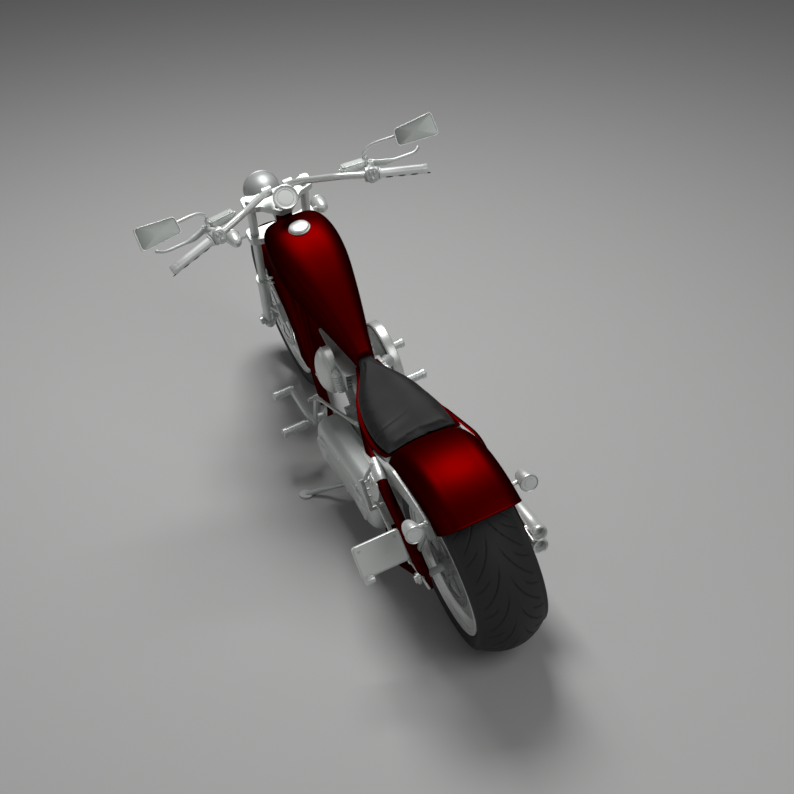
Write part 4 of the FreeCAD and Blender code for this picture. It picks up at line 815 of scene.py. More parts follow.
def ring(place, axis, radius, wire, sides=72):
    """A closed ring: a small circle turned about the axis."""
    turn = round_turn(12)
    section = np.stack([wire * np.sin(turn), radius + wire * np.cos(turn)], axis=1)
    return revolve(place, axis, section, sides)[0], True, True


fork_trim = [
    ring(fork_point(300, LEG_SIDE), UP_FORK, 0.0235, 0.0028, 40),
    ring(fork_point(288, LEG_SIDE), UP_FORK, 0.0232, 0.0016, 40),
    revolve(fork_point(822, LEG_SIDE), UP_FORK, LEG_CAP, 40),
    tube([fork_point(304, 99, -8), fork_point(330, 90, -28), fork_point(354, 82, -48)], 0.0050, 16),
    tube([fork_point(284, 99, -12), fork_point(310, 90, -36), fork_point(334, 82, -60)], 0.0050, 16),
]
for up, side, ahead, axis, radius, height in (
        (806, 98, -30, Y, 0.0065, 0), (600, 100, -34, Y, 0.0075, 0), (600, 110, 33, AHEAD_FORK, 0.0075, 0),
        (806, 110, 33, AHEAD_FORK, 0.0065, 0), (822, 66, 4, UP_FORK, 0.010, 0.007),
        (822, 24, -62, UP_FORK, 0.008, 0.006), (20, 130, 0, Y, 0.0075, 0), (-16, 130, 0, Y, 0.0075, 0)):
    fork_trim.append(screw(fork_point(up, side, ahead), axis, radius, height))
make_piece("fork_trim", "steering", CHROME, both_sides(fork_trim) + [
    revolve(fork_point(836, 0, -55), UP_FORK, STEM_NUT, 44)])

# Handlebar, grips and hand controls
# A bar bent from one tube in two clamped risers, with metal grips that carry rubber inlays. Each hand has
# a switch housing in two halves, a fluid reservoir with a screwed lid, a cast lever and a mirror.
BAR_BEND = at(1144, 262, 1140)
GRIP_END = at(1094, 483, 1096)
GRIP_LINE = unit(GRIP_END - BAR_BEND)
GRIP_START = BAR_BEND + 0.062 * GRIP_LINE
GRIP_LONG = np.linalg.norm(GRIP_END - GRIP_START)
GRIP_PROFILE = np.concatenate([
    at((0, 13.5), (0, 20.5), (1.2, 22), (3.6, 22), (5, 20.4), (6, 17.4), (12, 17.2)),
    [GRIP_LONG, 0] + at((-20, 17.2), (-19, 16.2), (-16.5, 16.2), (-15.5, 17.6), (3, 18.6), (6, 17), (7, 12),
                        (5.5, 10), (5.5, 0))])
metal_grips = make_piece("metal_grips", "steering", COVER_WHITE, both_sides([
    revolve(GRIP_START, GRIP_LINE, GRIP_PROFILE, 48)]))
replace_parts(metal_grips, "grips")

INLAY_ANGLES = (-35, -75)
INLAY_PLACES = (0.036, 0.081, 0.126, 0.171)
bar_side = unit(np.cross(GRIP_LINE, Z))
bar_up = np.cross(bar_side, GRIP_LINE)
inlay_share = np.linspace(-0.98, 0.98, 9)
inlay_round = np.sqrt(1 - inlay_share**2)
inlays = []
for angle in INLAY_ANGLES:
    out = math.cos(math.radians(angle)) * -bar_side + math.sin(math.radians(angle)) * bar_up
    for place in INLAY_PLACES:
        middle = GRIP_START + GRIP_LINE * place + 0.0170 * out
        inlays.append(blade(middle + inlay_share[:, None] * 0.015 * GRIP_LINE, np.cross(GRIP_LINE, out),
                            0.0034 * inlay_round, 0.0014 * inlay_round, 12, 1.0))
make_piece("grip_inlays", "steering", BELT_RUBBER, both_sides(inlays))


def loop_of(corners, radius, steps=6):
    """A closed outline through the corners, each rounded by a quadratic curve of the given reach."""
    p = np.asarray(corners, float)
    before, after = unit(np.roll(p, 1, axis=0) - p), unit(np.roll(p, -1, axis=0) - p)
    t = np.linspace(0, 1, steps)[None, :, None]
    start, stop = (p + radius * before)[:, None], (p + radius * after)[:, None]
    return ((1 - t)**2 * start + 2 * t * (1 - t) * p[:, None] + t**2 * stop).reshape(-1, 3)


def oval(centre, first, second, sides=32):
    """A closed ellipse with the two given half axes as vectors."""
    turn = round_turn(sides)[:, None]
    return centre + np.cos(turn) * first + np.sin(turn) * second


def ring_of(loop, centre, across, wire):
    """A round wire bent along a closed outline: circles that span across and the way from the centre."""
    turn = round_turn(10)[None, :, None]
    out = unit(loop - centre)[:, None]
    return loop[:, None] + wire * (np.cos(turn) * out + np.sin(turn) * across), True, True


def slab(loop, depth, edge, dome=0.0):
    """A plate: an outline carried along the depth vector, its edges rounded by quarter circles.

    Each row is the outline moved inwards in its own plane and along the depth; the last rows shrink
    to the middle and rise by the dome.
    """
    deep = np.linalg.norm(depth)
    axis = depth / deep
    centre = loop.mean(axis=0)
    inward = unit(np.cross(axis, np.roll(loop, -1, axis=0) - np.roll(loop, 1, axis=0)))
    if np.sum(inward * (centre - loop)) < 0:
        inward = -inward
    t = np.linspace(0, np.pi / 2, 5)
    inset = np.concatenate([edge * (1 - np.sin(t)), edge * (1 - np.cos(t))])
    high = np.concatenate([edge * (1 - np.cos(t)), deep - edge + edge * np.sin(t)])
    rows = loop[None] + inset[:, None, None] * inward[None] + high[:, None, None] * axis
    face = rows[-1]
    share = np.array([0.8, 0.55, 0.3, 0.0])[:, None, None]
    top = centre + (face - centre - deep * axis) * share + (deep + dome * (1 - share**2)) * axis
    bottom = np.broadcast_to(centre, rows[:1].shape)
    return np.concatenate([bottom, rows, top]), False, True


SWITCH_AT = BAR_BEND + 0.035 * GRIP_LINE
SWITCH_PROFILE = at(
    (-24, 13.2), (-24, 23), (-22.5, 25.6), (-19, 27), (-1, 27), (-0.7, 26), (0.7, 26), (1, 27), (19, 27),
    (22.5, 25.6), (24, 23), (24, 13.2))
BUTTONS = at((7.5, 9, 4.5, 8.5, 0.8), (-7.5, 9, 4.5, 8.5, 0.8), (0, -11, 7.5, 7.5, 1))
LEVER_PIVOT = at(1203, 322, 1140)
LEVER_PLACES = (0, 0.30, 0.42, 1)
LEVER_WIDTHS = at(12.5, 12.0, 5.8, 4.8)
LEVER_LINE = at((1204, 326, 1140), (1196, 346, 1135), (1188, 372, 1131), (1181, 405, 1130), (1178, 440, 1130),
                (1176, 474, 1130), (1183, 490, 1130), (1200, 505, 1130))
PIVOT_PROFILE = at((-13, 0), (-13, 10), (-11, 12), (10, 12), (11, 10), (11, 7), (14, 6.4), (14, 0))
BALL_RADIUS = 0.007
RESERVOIR = at((1198, 211, 1160), (1196, 300, 1153))
RESERVOIR_HALF_WIDTH = 0.017
RESERVOIR_PLUG = at((-2, 0), (-2, 10), (4, 10), (6, 8), (6, 5.5), (11, 5), (12, 3), (12, 0))
reservoir_line = unit(RESERVOIR[1] - RESERVOIR[0])
reservoir_side = unit(np.cross(reservoir_line, Z))
reservoir_up = np.cross(reservoir_side, reservoir_line)


def reservoir_loop(grow, down):
    """The reservoir's rounded outline, grown by so much all round and moved down."""
    across = RESERVOIR_HALF_WIDTH + grow
    return loop_of([RESERVOIR[a] + (2 * a - 1) * grow * reservoir_line + c * across * reservoir_side
                    - down * reservoir_up for a, c in ((0, -1), (0, 1), (1, 1), (1, -1))], 0.011)


housing, _, _ = revolve(SWITCH_AT, GRIP_LINE, SWITCH_PROFILE, 48)
towards_rider = np.array([-0.97, 0, 0.24])
towards_rider = unit(towards_rider - GRIP_LINE * np.dot(towards_rider, GRIP_LINE))
button_up = np.cross(GRIP_LINE, towards_rider)
face_at = SWITCH_AT + 0.030 * towards_rider
lever_path = smooth_path(LEVER_LINE, 5)
lever_width = np.interp(np.linspace(0, 1, len(lever_path)), LEVER_PLACES, LEVER_WIDTHS)
ball_turn = np.linspace(-np.pi / 2, np.pi / 2, 11)
controls = [
    (housing, True, True),
    slab(reservoir_loop(0, 0.016), 0.026 * reservoir_up, 0.004),
    slab(reservoir_loop(0.0012, -0.0104), 0.0045 * reservoir_up, 0.0016),
    slab(reservoir_loop(-0.006, -0.0149), 0.0012 * reservoir_up, 0.0005),
    revolve(RESERVOIR[0], -reservoir_line, RESERVOIR_PLUG, 28),
    tube(smooth_path([SWITCH_AT + at(6, -10, 4), SWITCH_AT + at(30, 8, 8), LEVER_PIVOT], 5),
         np.linspace(0.017, 0.0115, 11), 24),
    revolve(LEVER_PIVOT, reservoir_up, PIVOT_PROFILE, 32),
    blade(lever_path, reservoir_up, lever_width, 0.0052, 16, 0.8),
    revolve(lever_path[-1], Y, BALL_RADIUS * np.stack([np.sin(ball_turn), np.cos(ball_turn)], axis=1), 20),
    slab(oval(SWITCH_AT + 0.004 * towards_rider, 0.0235 * GRIP_LINE, 0.0285 * button_up),
         0.027 * towards_rider, 0.007),
    ring_of(oval(face_at, 0.0185 * GRIP_LINE, 0.0235 * button_up, 48), face_at, towards_rider, 0.0024),
]
for along, high, half_long, half_high, dome in BUTTONS:
    button_at = face_at + along * GRIP_LINE + high * button_up
    button_loop = oval(button_at, half_long * GRIP_LINE, half_high * button_up)
    controls.append(slab(button_loop, 0.006 * towards_rider, 0.002, dome))
for share in (0.1, 0.9):
    for side in (-0.012, 0.012):
        spot = RESERVOIR[0] + share * (RESERVOIR[1] - RESERVOIR[0]) + side * reservoir_side
        controls.append(screw(spot + 0.0152 * reservoir_up, reservoir_up, 0.0032, 0.002))
control_castings = make_piece("hand_control_castings", "steering", SATIN, both_sides(controls))
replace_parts(control_castings, "hand_controls")

# Mirrors
# A tapered cast shell for each hand, on a bent steel stem that is screwed in beside the reservoir. The
# glass lies a little below the shell's thin rim.
MIRROR_CORNERS = at((1135, 563, 1278), (1094, 563, 1202), (1116, 408, 1206), (1147, 414, 1260))
MIRROR_STEM = at((1201, 304, 1166), (1201, 306, 1192), (1190, 340, 1214), (1144, 424, 1234))
STEM_FOOT = at((-8, 0), (-8, 10), (6, 10), (9, 8), (9, 0))


def drawn_in(loop, centre, share):
    """An outline scaled towards its centre."""
    return centre + share * (loop - centre)


mirror_back = unit(np.cross(MIRROR_CORNERS[2] - MIRROR_CORNERS[0], MIRROR_CORNERS[3] - MIRROR_CORNERS[1]))
if mirror_back[0] < 0:
    mirror_back = -mirror_back
mirror_middle = MIRROR_CORNERS.mean(axis=0)
off_plane = np.sum((MIRROR_CORNERS - mirror_middle) * mirror_back, axis=1)[:, None]
mirror_loop = loop_of(MIRROR_CORNERS - off_plane * mirror_back, 0.016, 9)
stem_path = smooth_path([*MIRROR_STEM[:3], MIRROR_STEM[3] + 0.009 * mirror_back], 8)
mirror_shells = make_piece("mirror_shells", "steering", CHROME, both_sides([
    slab(mirror_loop + 0.001 * mirror_back, 0.015 * mirror_back, 0.006, 0.003),
    ring_of(drawn_in(mirror_loop, mirror_middle, 0.972), mirror_middle, mirror_back, 0.0022),
    tube(stem_path, 0.006, 20),
    revolve(MIRROR_STEM[0], unit(MIRROR_STEM[1] - MIRROR_STEM[0]), STEM_FOOT, 28)]))
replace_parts(mirror_shells, "mirrors")
glass_loop = drawn_in(mirror_loop, mirror_middle, 0.93) - 0.0004 * mirror_back
make_piece("mirror_glasses", "steering", MIRROR_GLASS, both_sides([
    slab(glass_loop, 0.003 * mirror_back, 0.0008)]))

# Engine
# An air-cooled V-twin: two finned barrels and heads on one crankcase. Each head is closed by a rocker box
# in two halves, and two push-rod tubes a cylinder rise on the right from their tappet blocks.
CRANK = at(870, 0, 275)
CYLINDER_TILTS = (22.5, -22.5)
BARREL_RADIUS = 52
FIN_OUT = 14
FIN_SQUARING = 0.035
FIN_PROFILE = ((0, 52), (0.9, 63), (1.3, 65.2), (2.1, 66), (3.4, 66), (4.2, 65.2), (4.6, 63), (5.5, 52))
FIN_PLACES = range(124, 278, 11)
BARREL_FOOT = 118
HEAD_TOP = 282
TUBE_PROFILE = (
    (132.5, 0), (132.5, 13), (136, 13.4), (141, 13), (142, 11), (150, 10.6), (156, 11.4), (158, 9), (160, 8),
    (208, 8), (209.5, 9.4), (213, 9.4), (214.5, 8), (268, 8), (270, 10.4), (282, 10.8), (282, 0))
TUBE_PLACES = (-26, 26)
TUBE_OUT = -70
TUBE_RINGS = ((160, 0.0095), (270, 0.0102))
ROCKER_CORNERS = ((-66, -90), (66, -90), (66, 62), (-66, 62))
ROCKER_LAYERS = ((282.6, 303, 0, 3, 0), (303, 305.6, -2.5, 0.8, 0), (305.6, 329, 0, 11, 1.0))
ROCKER_SCREWS = ((-50, -74), (50, -74), (-50, 46), (50, 46), (0, -80), (0, 52))
ROCKER_PLATE = ((-30, -62, 329), (30, -62, 329), (30, 34, 329), (-30, 34, 329))


def on_cylinder(grid, tilt):
    """Places a grid given as (across, left, along) in millimetres on the cylinder that leans by the tilt."""
    s, c = math.sin(math.radians(tilt)), math.cos(math.radians(tilt))
    across, left, along = np.moveaxis(np.asarray(grid, float) / 1000, -1, 0)
    return CRANK + np.stack([c * across + s * along, left, c * along - s * across], axis=-1)


def finned(tilt):
    """A barrel and head: fins are waves of the radius along the axis, squarish where they stand out."""
    rows = [(BARREL_FOOT, BARREL_RADIUS)]
    for low in FIN_PLACES:
        rows += [(low + along, radius) for along, radius in FIN_PROFILE]
    rows = np.array(rows + [(HEAD_TOP, BARREL_RADIUS)], float)
    turn = round_turn(96)[:, None]
    share = np.clip((rows[:, 1] - BARREL_RADIUS) / FIN_OUT, 0, 1)
    radius = rows[:, 1] * (1 - FIN_SQUARING * share * (1 + np.cos(4 * turn)))
    along = np.broadcast_to(rows[:, 0], radius.shape)
    grid = np.stack([radius * np.cos(turn), radius * np.sin(turn), along], axis=-1)
    return on_cylinder(grid, tilt), True, False


barrels, boxes, tubes, tube_rings = [], [], [], []
for tilt in CYLINDER_TILTS:
    rise = on_cylinder([0, 0, 1000], tilt) - CRANK
    barrels.append(finned(tilt))
    for x in TUBE_PLACES:
        tubes.append(revolve(on_cylinder([x, TUBE_OUT, 0], tilt), rise, at(*TUBE_PROFILE), 28))
        for along, radius in TUBE_RINGS:
            tube_rings.append(ring(on_cylinder([x, TUBE_OUT, along], tilt), rise, radius, 0.0014, 28))
    for low, high, grow, edge, dome in ROCKER_LAYERS:
        loop = loop_of(on_cylinder([
            (x + np.sign(x) * grow, y + np.sign(y) * grow, low) for x, y in ROCKER_CORNERS], tilt), 0.040, 10)
        boxes.append(slab(loop, rise / 1000 * (high - low), edge / 1000, dome / 1000))
    for x, y in ROCKER_SCREWS:
        boxes.append(screw(on_cylinder([x, y, 325.5], tilt), rise, 0.0062, 0.005))
    boxes.append(slab(loop_of(on_cylinder(ROCKER_PLATE, tilt), 0.016), rise / 1000 * 3, 0.0014))
finned_barrels = make_piece("finned_barrels", "frame", CAST, barrels + tubes, sharp=50)
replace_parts(finned_barrels, "cylinders")
rocker_halves = make_piece("rocker_box_halves", "frame", SATIN, boxes)
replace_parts(rocker_halves, "rocker_boxes")
make_piece("push_rod_rings", "frame", CHROME, tube_rings)

# Primary drive cover
# A long polished casting that closes the chain drive between crank and gearbox. Its edge is fully round,
# and a ridge swells to a crescent round each end of its face. Screws sit inside the ridge.
PRIMARY_FRONT = at(872, 0, 288)
PRIMARY_REAR = at(512, 0, 290)
PRIMARY_FRONT_RADIUS = 0.112
PRIMARY_REAR_RADIUS = 0.114
PRIMARY_BACK = 0.104
PRIMARY_FACE = 0.214
PRIMARY_MIDDLE_HEIGHT = 0.289
EDGE_START = 162
EDGE_ROUND = 44
RIDGE_LOW = 208
RIDGE_MIDDLE = 0.692
RIDGE_FADE = 0.18
FACE_INSET = 0.070
RIDGE_ROWS = (
    (47, 206), (50, 207), (51.5, 213), (54, 216.8), (57, 218), (61, 218), (64.5, 216.6), (67, 214.4),
    (70, 214))
COVER_SCREWS = (
    (872, 360), (944, 288), (872, 216), (692, 362), (692, 218), (512, 364), (438, 290), (512, 216))
FRONT_BOSS = at((0, 0), (0, 24), (1.5, 25), (3, 24), (3.4, 20), (2.6, 19), (2.6, 0))
REAR_BOSS = at((0, 0), (0, 20), (1.5, 21), (3, 20), (3.4, 16), (2.6, 15), (2.6, 0))


def primary_loop(inset):
    """The cover's outline moved inwards: half a circle about each shaft, joined by straight sides."""
    half = np.linspace(-np.pi / 2, np.pi / 2, 40)[:, None]
    arc = np.concatenate([np.cos(half), 0 * half, np.sin(half)], axis=1)
    front = PRIMARY_FRONT + (PRIMARY_FRONT_RADIUS - inset) * arc
    rear = PRIMARY_REAR - (PRIMARY_REAR_RADIUS - inset) * arc
    side = np.linspace(0, 1, 14)[1:-1, None]
    top, bottom = front[-1] + side * (rear[0] - front[-1]), rear[-1] + side * (front[0] - rear[-1])
    return np.concatenate([front, top, rear, bottom])


def primary_grid():
    """Rows of the outline, each with its inset and its distance out; the ridge is lower along the sides."""
    rows = [(0.02, 104.0), (0, 104.5)]
    for turn in np.linspace(0, np.pi / 2, 10):
        rows.append((EDGE_ROUND * (1 - math.cos(turn)), EDGE_START + EDGE_ROUND * math.sin(turn)))
    grids = [primary_loop(inset / 1000) + out / 1000 * Y for inset, out in rows]
    ends = np.clip(np.abs(primary_loop(0)[:, 0] - RIDGE_MIDDLE) / RIDGE_FADE - 0.35, 0, 1)[:, None]
    for inset, out in RIDGE_ROWS:
        lift = max(out - RIDGE_LOW, 0) * ends + min(out, RIDGE_LOW)
        grids.append(primary_loop(inset / 1000) + lift / 1000 * Y)
    inner = primary_loop(FACE_INSET)
    x = np.clip(inner[:, 0], PRIMARY_REAR[0], PRIMARY_FRONT[0])
    line = np.stack([x, 0 * x, 0 * x + PRIMARY_MIDDLE_HEIGHT], axis=1)
    for share in (0.5, 0.0):
        grids.append(line + share * (inner - line) + PRIMARY_FACE * Y)
    return np.stack([line + PRIMARY_BACK * Y] + grids), False, True


primary_case = make_piece("primary_case", "frame", SATIN, [primary_grid()], sharp=60)
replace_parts(primary_case, "primary_cover")
make_piece("primary_fittings", "frame", CHROME, [
    *(screw(at(x, 205.5, z), Y, 0.0065, 0.004) for x, z in COVER_SCREWS),
    revolve(at(872, 213, 288), Y, FRONT_BOSS, 48),
    revolve(at(512, 213, 290), Y, REAR_BOSS, 48)])

# Horn cover, coil and top mount
# A pressed teardrop dome hangs on the engine's left between the barrels, its rim and crest bright. A
# ribbed ignition coil stands behind it, and a stamped plate on three posts ties both heads to the frame.
HORN_AT = at(905, 106, 592)
HORN_HALF_WIDTH = 47
HORN_HALF_HEIGHT = 97
HORN_RISE = 41
HORN_TAPER = 0.22
MOUNT_PLATE = at((1106, 57, 641), (905, 78, 652), (764, 78, 630), (756, -24, 630), (1090, -24, 646))
MOUNT_FLANGE = at((905, 78, 652), (902, 78, 612), (846, 78, 562), (792, 78, 548), (764, 78, 630))
COIL_RIB = ((-4, 18), (-3, 21), (0, 21.6), (3, 21), (4, 18))
COIL_RIB_PLACES = range(-30, 31, 10)


def horn_outline(turn, share=1.0):
    """The horn's egg-shaped outline: an ellipse that narrows upwards, scaled by the share."""
    x = HORN_HALF_WIDTH * share * np.cos(turn) * (1 - HORN_TAPER * np.sin(turn))
    return x, HORN_HALF_HEIGHT * share * np.sin(turn)


def horn_grid():
    """A dome: outlines that shrink by a cosine and rise by a sine, with a bell-curve crest up the middle."""
    climb = np.linspace(0.05, np.pi / 2, 16)
    share = np.concatenate([[0.0, 1.0, 1.0], np.cos(climb)])[:, None]
    out = np.concatenate([[-30.0, -29.0, -2.0], HORN_RISE * np.sin(climb)])[:, None]
    x, z = horn_outline(round_turn(72)[None], share)
    crest = 3.0 * np.exp(-(x / 5)**2) * np.clip(out / 12, 0, 1)
    return HORN_AT + np.stack([x, out + crest, z], axis=-1) / 1000, False, True


edge_x, edge_z = horn_outline(round_turn(72))
horn_edge = HORN_AT + np.stack([edge_x, 0 * edge_x, edge_z], axis=1) / 1000
horn_dome = make_piece("horn_dome", "frame", CHROME, [
    horn_grid(), ring_of(horn_edge, HORN_AT, Y, 0.0032), screw(at(905, 149, 592), Y, 0.006, 0.004),
    tube(at((905, 84, 550), (930, 74, 505), (944, 64, 480)), 0.009)])
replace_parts(horn_dome, "horn_cover")
coil_rows = [(-42, 0), (-42, 15), (-38, 17)]
for place in COIL_RIB_PLACES:
    coil_rows += [(place + along, radius) for along, radius in COIL_RIB]
coil_rows += [(38, 17), (42, 15), (42, 10), (48, 8), (49, 0)]
make_piece("ignition_coil", "frame", SATIN, [
    revolve(at(836, 92, 575), [0.05, 0, 1], at(*coil_rows), 40),
    blade(at((836, 70, 530), (850, 60, 480), (868, 52, 430)), Y, 0.012, 0.003)])
make_piece("engine_top_mount", "frame", SATIN, [
    slab(loop_of(MOUNT_PLATE, 0.010), at(0, 0, -4), 0.0012),
    slab(loop_of(MOUNT_FLANGE, 0.008), at(0, 4, 0), 0.0012),
    blade(at((1010, 20, 585), (1022, 22, 615), (1030, 24, 642)), Y, 0.016, 0.003, 20, 0.5),
    blade(at((742, 20, 585), (748, 22, 608), (770, 24, 628)), Y, 0.016, 0.003, 20, 0.5),
    blade(at((905, 0, 640), (900, 0, 668), (896, 0, 706)), Y, 0.014, 0.003, 20, 0.5),
    screw(at(1080, 40, 646), Z, 0.007, 0.005), screw(at(878, 82, 626), Y, 0.007, 0.005)])

# Air cleaner and carburettor
# A round air filter drum beside the front barrel: a wide brushed band between two pressed plates, held
# by a ring of screws. The carburettor behind it has a float bowl and a flanged inlet.
AIR_AT = at(1020, -120, 470)
DRUM_PROFILE = at(
    (-45, 0), (-45, 60), (-44, 62), (-44, 112), (-43, 124), (-41, 132), (-36, 140), (-33, 140),
    (-32.4, 138.6), (-31.6, 138.6), (-31, 140), (-13, 140), (-12.4, 138.6), (-11.6, 138.6), (-11, 140),
    (-6, 140), (-3, 138), (-1.5, 134), (-2, 130), (-2, 127.5), (0, 126), (0, 96), (-1.2, 94),
    (-1.2, 60), (0, 58), (0, 0))
FACE_PROFILE = at((-0.5, 0), (-0.5, 95), (0.6, 95), (1.2, 93), (1.2, 62), (1.6, 58), (1.6, 0))
FLOAT_BOWL = at((-6, 0), (-6, 25), (2, 26), (4, 24), (22, 22), (28, 18), (30, 8), (36, 7), (37, 0))
DRUM_SCREW_CIRCLE = 0.116
DRUM_SCREWS = 18
INLET_FLANGE = at((842, -46, 545), (870, -46, 583), (898, -46, 545), (870, -46, 507))
CARBURETTOR_BODY = at((840, -88, 575), (900, -88, 575), (900, -88, 515), (840, -88, 515))
THROAT_LINE = at((870, -20, 545), (870, -60, 545), (872, -92, 542), (905, -116, 526), (975, -132, 490))


def wheel_round(centre, radius, degrees):
    """The point at that angle of an upright circle that faces the rider's left."""
    return centre + radius * np.array([math.cos(math.radians(degrees)), 0, math.sin(math.radians(degrees))])


air_drum = [revolve(AIR_AT, Y, DRUM_PROFILE, 120)]
for k in range(DRUM_SCREWS):
    air_drum.append(screw(wheel_round(AIR_AT, DRUM_SCREW_CIRCLE, 360 / DRUM_SCREWS * k), Y, 0.0036, 0.0024))
air_piece = make_piece("air_filter_drum", "frame", CHROME, air_drum)
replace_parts(air_piece, "air_cleaner")
make_piece("air_filter_seal", "frame", BELT_RUBBER, [
    ring(AIR_AT - at(0, 1.2, 0), Y, 0.129, 0.0022, 120)])
make_piece("air_filter_face", "frame", COVER_WHITE, [revolve(AIR_AT, Y, FACE_PROFILE, 96)])
make_piece("carburettor", "frame", CAST, [
    tube(smooth_path(THROAT_LINE, 6), 0.024, 32),
    slab(loop_of(INLET_FLANGE, 0.020), at(0, 8, 0), 0.002),
    slab(loop_of(CARBURETTOR_BODY, 0.014), at(0, 36, 0), 0.005),
    revolve(at(870, -70, 515), -Z, FLOAT_BOWL, 40),
    screw(at(856, -38, 566), Y, 0.004), screw(at(884, -38, 524), Y, 0.004)])

# Crankcase, gearbox and oil tank fittings
# Cast cases with screwed covers, the gearbox with a wall inside it, its shift lever on the left and its
# belt pulley on the right. The oil tank is welded sheet, held to the frame by two straps.
GEARBOX_CORNERS = at((430, -75, 215), (660, -75, 215), (660, -75, 405), (430, -75, 405))
INNER_WALL_CORNERS = at((438, -4, 223), (652, -4, 223), (652, -4, 397), (438, -4, 397))
GEARBOX_SCREWS = ((448, 233), (545, 226), (642, 233), (448, 387), (545, 394), (642, 387))
CLUTCH_COVER = at((0, 0), (0, 40), (8, 38), (12, 30), (14, 20), (14, 0))
SHIFT_SHAFT = at((0, 0), (0, 16), (10, 15), (12, 12), (20, 9), (28, 9), (28, 0))
SHIFT_PIN = at(690, 92, 475)
PIN_PROFILE = at((-8, 0), (-8, 8), (6, 8), (7, 4), (19, 4), (19, 0))
PULLEY_AT = at(470, -137, 300)
PULLEY_PROFILE = at((-9, 14), (-9, 43), (-8, 46), (8, 46), (9, 43), (9, 14), (-9, 14))
PULLEY_SHAFT = at((-14, 0), (-14, 14), (60, 14), (60, 0))
OIL_CORNERS = at((420, -95, 425), (610, -95, 425), (610, -95, 545), (420, -95, 545))
OIL_CAP = at((0, 0), (0, 15), (3, 16), (8, 16), (10, 14), (10, 0))
STRAP_PLACES = (-60, 60)
STRAP_WIDTH = 22
CASE_SCREWS = ((98, -89, range(18, 360, 36)), (75, -108, range(0, 360, 40)))

gearbox_parts = [
    slab(loop_of(GEARBOX_CORNERS, 0.026), at(0, 149, 0), 0.010),
    slab(loop_of(INNER_WALL_CORNERS, 0.022), at(0, 8, 0), 0.003),
    revolve(at(470, -60, 300), -Y, CLUTCH_COVER, 48),
    revolve(at(640, 72, 380), Y, SHIFT_SHAFT, 32),
    tube(at((640, 92, 380), (665, 92, 428), (690, 92, 475)), at(8, 7.2, 6.5), 20),
    revolve(SHIFT_PIN, Y, PIN_PROFILE, 24),
    revolve(PULLEY_AT, Y, PULLEY_PROFILE, 48), revolve(PULLEY_AT, Y, PULLEY_SHAFT, 32)]
for x, z in GEARBOX_SCREWS:
    gearbox_parts += [screw(at(x, 74, z), Y, 0.006, 0.004), screw(at(x, -74, z), -Y, 0.006, 0.004)]
gearbox = make_piece("gearbox_castings", "frame", SATIN, gearbox_parts)
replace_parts(gearbox, "gearbox")

oil_parts = [slab(loop_of(OIL_CORNERS, 0.034), at(0, 190, 0), 0.014)]
for y in STRAP_PLACES:
    low = y - STRAP_WIDTH / 2
    strap = loop_of(at((418, low, 423), (612, low, 423), (612, low, 547), (418, low, 547)), 0.036)
    oil_parts.append(slab(strap, at(0, STRAP_WIDTH, 0), 0.001))
oil_parts.append(revolve(at(575, 70, 543), Z, OIL_CAP, 32))
oil_tank = make_piece("oil_tank_shell", "frame", SATIN, oil_parts)
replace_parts(oil_tank, "oil_tank")
make_piece("crankcase_screws", "frame", CHROME, [
    screw(wheel_round(CRANK + at(0, y, 0), radius / 1000, angle), -Y, 0.005, 0.004)
    for radius, y, angles in CASE_SCREWS for angle in angles])

# Exhaust tips and clamps
# The two stacked pipes are chromed steel. Each ends in a rolled double ring with a grey bore, and a
# screwed band clamp holds it further forward.
PIPE_ENDS = ((-22, 250), (-40, 320))
PIPE_OUT = -222
TIP_PROFILE = at(
    (0, 23), (-1.5, 25), (-1.5, 27.5), (0.5, 28.6), (3, 28.6), (4.5, 27.2), (8, 27.2), (9.5, 28.6),
    (12, 28.6), (13.5, 27.6), (60, 27.6), (300, 26), (304, 24), (304, 23))
BORE_PROFILE = at((-0.5, 23.4), (0, 22), (26, 20.6), (28, 0))
CLAMP_PROFILE = at((-7, 23), (-7, 25.2), (-6, 26), (6, 26), (7, 25.2), (7, 23))
CLAMP_AHEAD = at(470, 0, 0)

tips, bores = [], []
for x, z in PIPE_ENDS:
    end = at(x, PIPE_OUT, z)
    tips += [revolve(end, X, TIP_PROFILE, 64), revolve(end + CLAMP_AHEAD, X, CLAMP_PROFILE, 56),
             screw(end + CLAMP_AHEAD + at(0, 0, 25), Z, 0.0045, 0.006)]
    bores.append(revolve(end, X, BORE_PROFILE, 64))
make_piece("exhaust_rings", "frame", CHROME, tips)
make_piece("exhaust_bores", "frame", CAST, bores)

# Foot controls
# Knurled metal pegs on cast brackets ahead of the engine. On the left a toe lever with its own peg turns
# on the bracket, and a rod with an eye at each end links it to the gearbox lever.
PEG_AT = at(1129, 301, 250)
TOE_END = at(1232, 275, 352)
TOE_LEVER_LINE = at((1129, 172, 250), (1150, 184, 272), (1196, 194, 318), (1224, 199, 345), (1232, 207, 352))
PEG_FLANGE = at((0, 0), (0, 20), (3, 22), (31, 22), (34, 19), (34, 0))
PEG_PIVOT = at((0, 0), (0, 18), (2, 20), (15, 20), (18, 18), (18, 9), (24, 8), (24, 0))
SHIFT_ARM_LINE = at((1129, 166, 250), (1116, 158, 300), (1100, 144, 366))
SHIFT_ARM_END = at(1100, 142, 366)
ARM_PIN = at((-9, 0), (-9, 9), (-8, 10.5), (8, 10.5), (10, 8), (32, 7.6), (34, 6), (34, 0))
ROD_EYE = SHIFT_PIN + at(0, 12, 0)
ROD_END = SHIFT_PIN + at(4, 12, 0)
rod_line = unit(ROD_EYE - SHIFT_ARM_END)
rod_sleeve = np.array([[0.02], [0.06]]) * rod_line


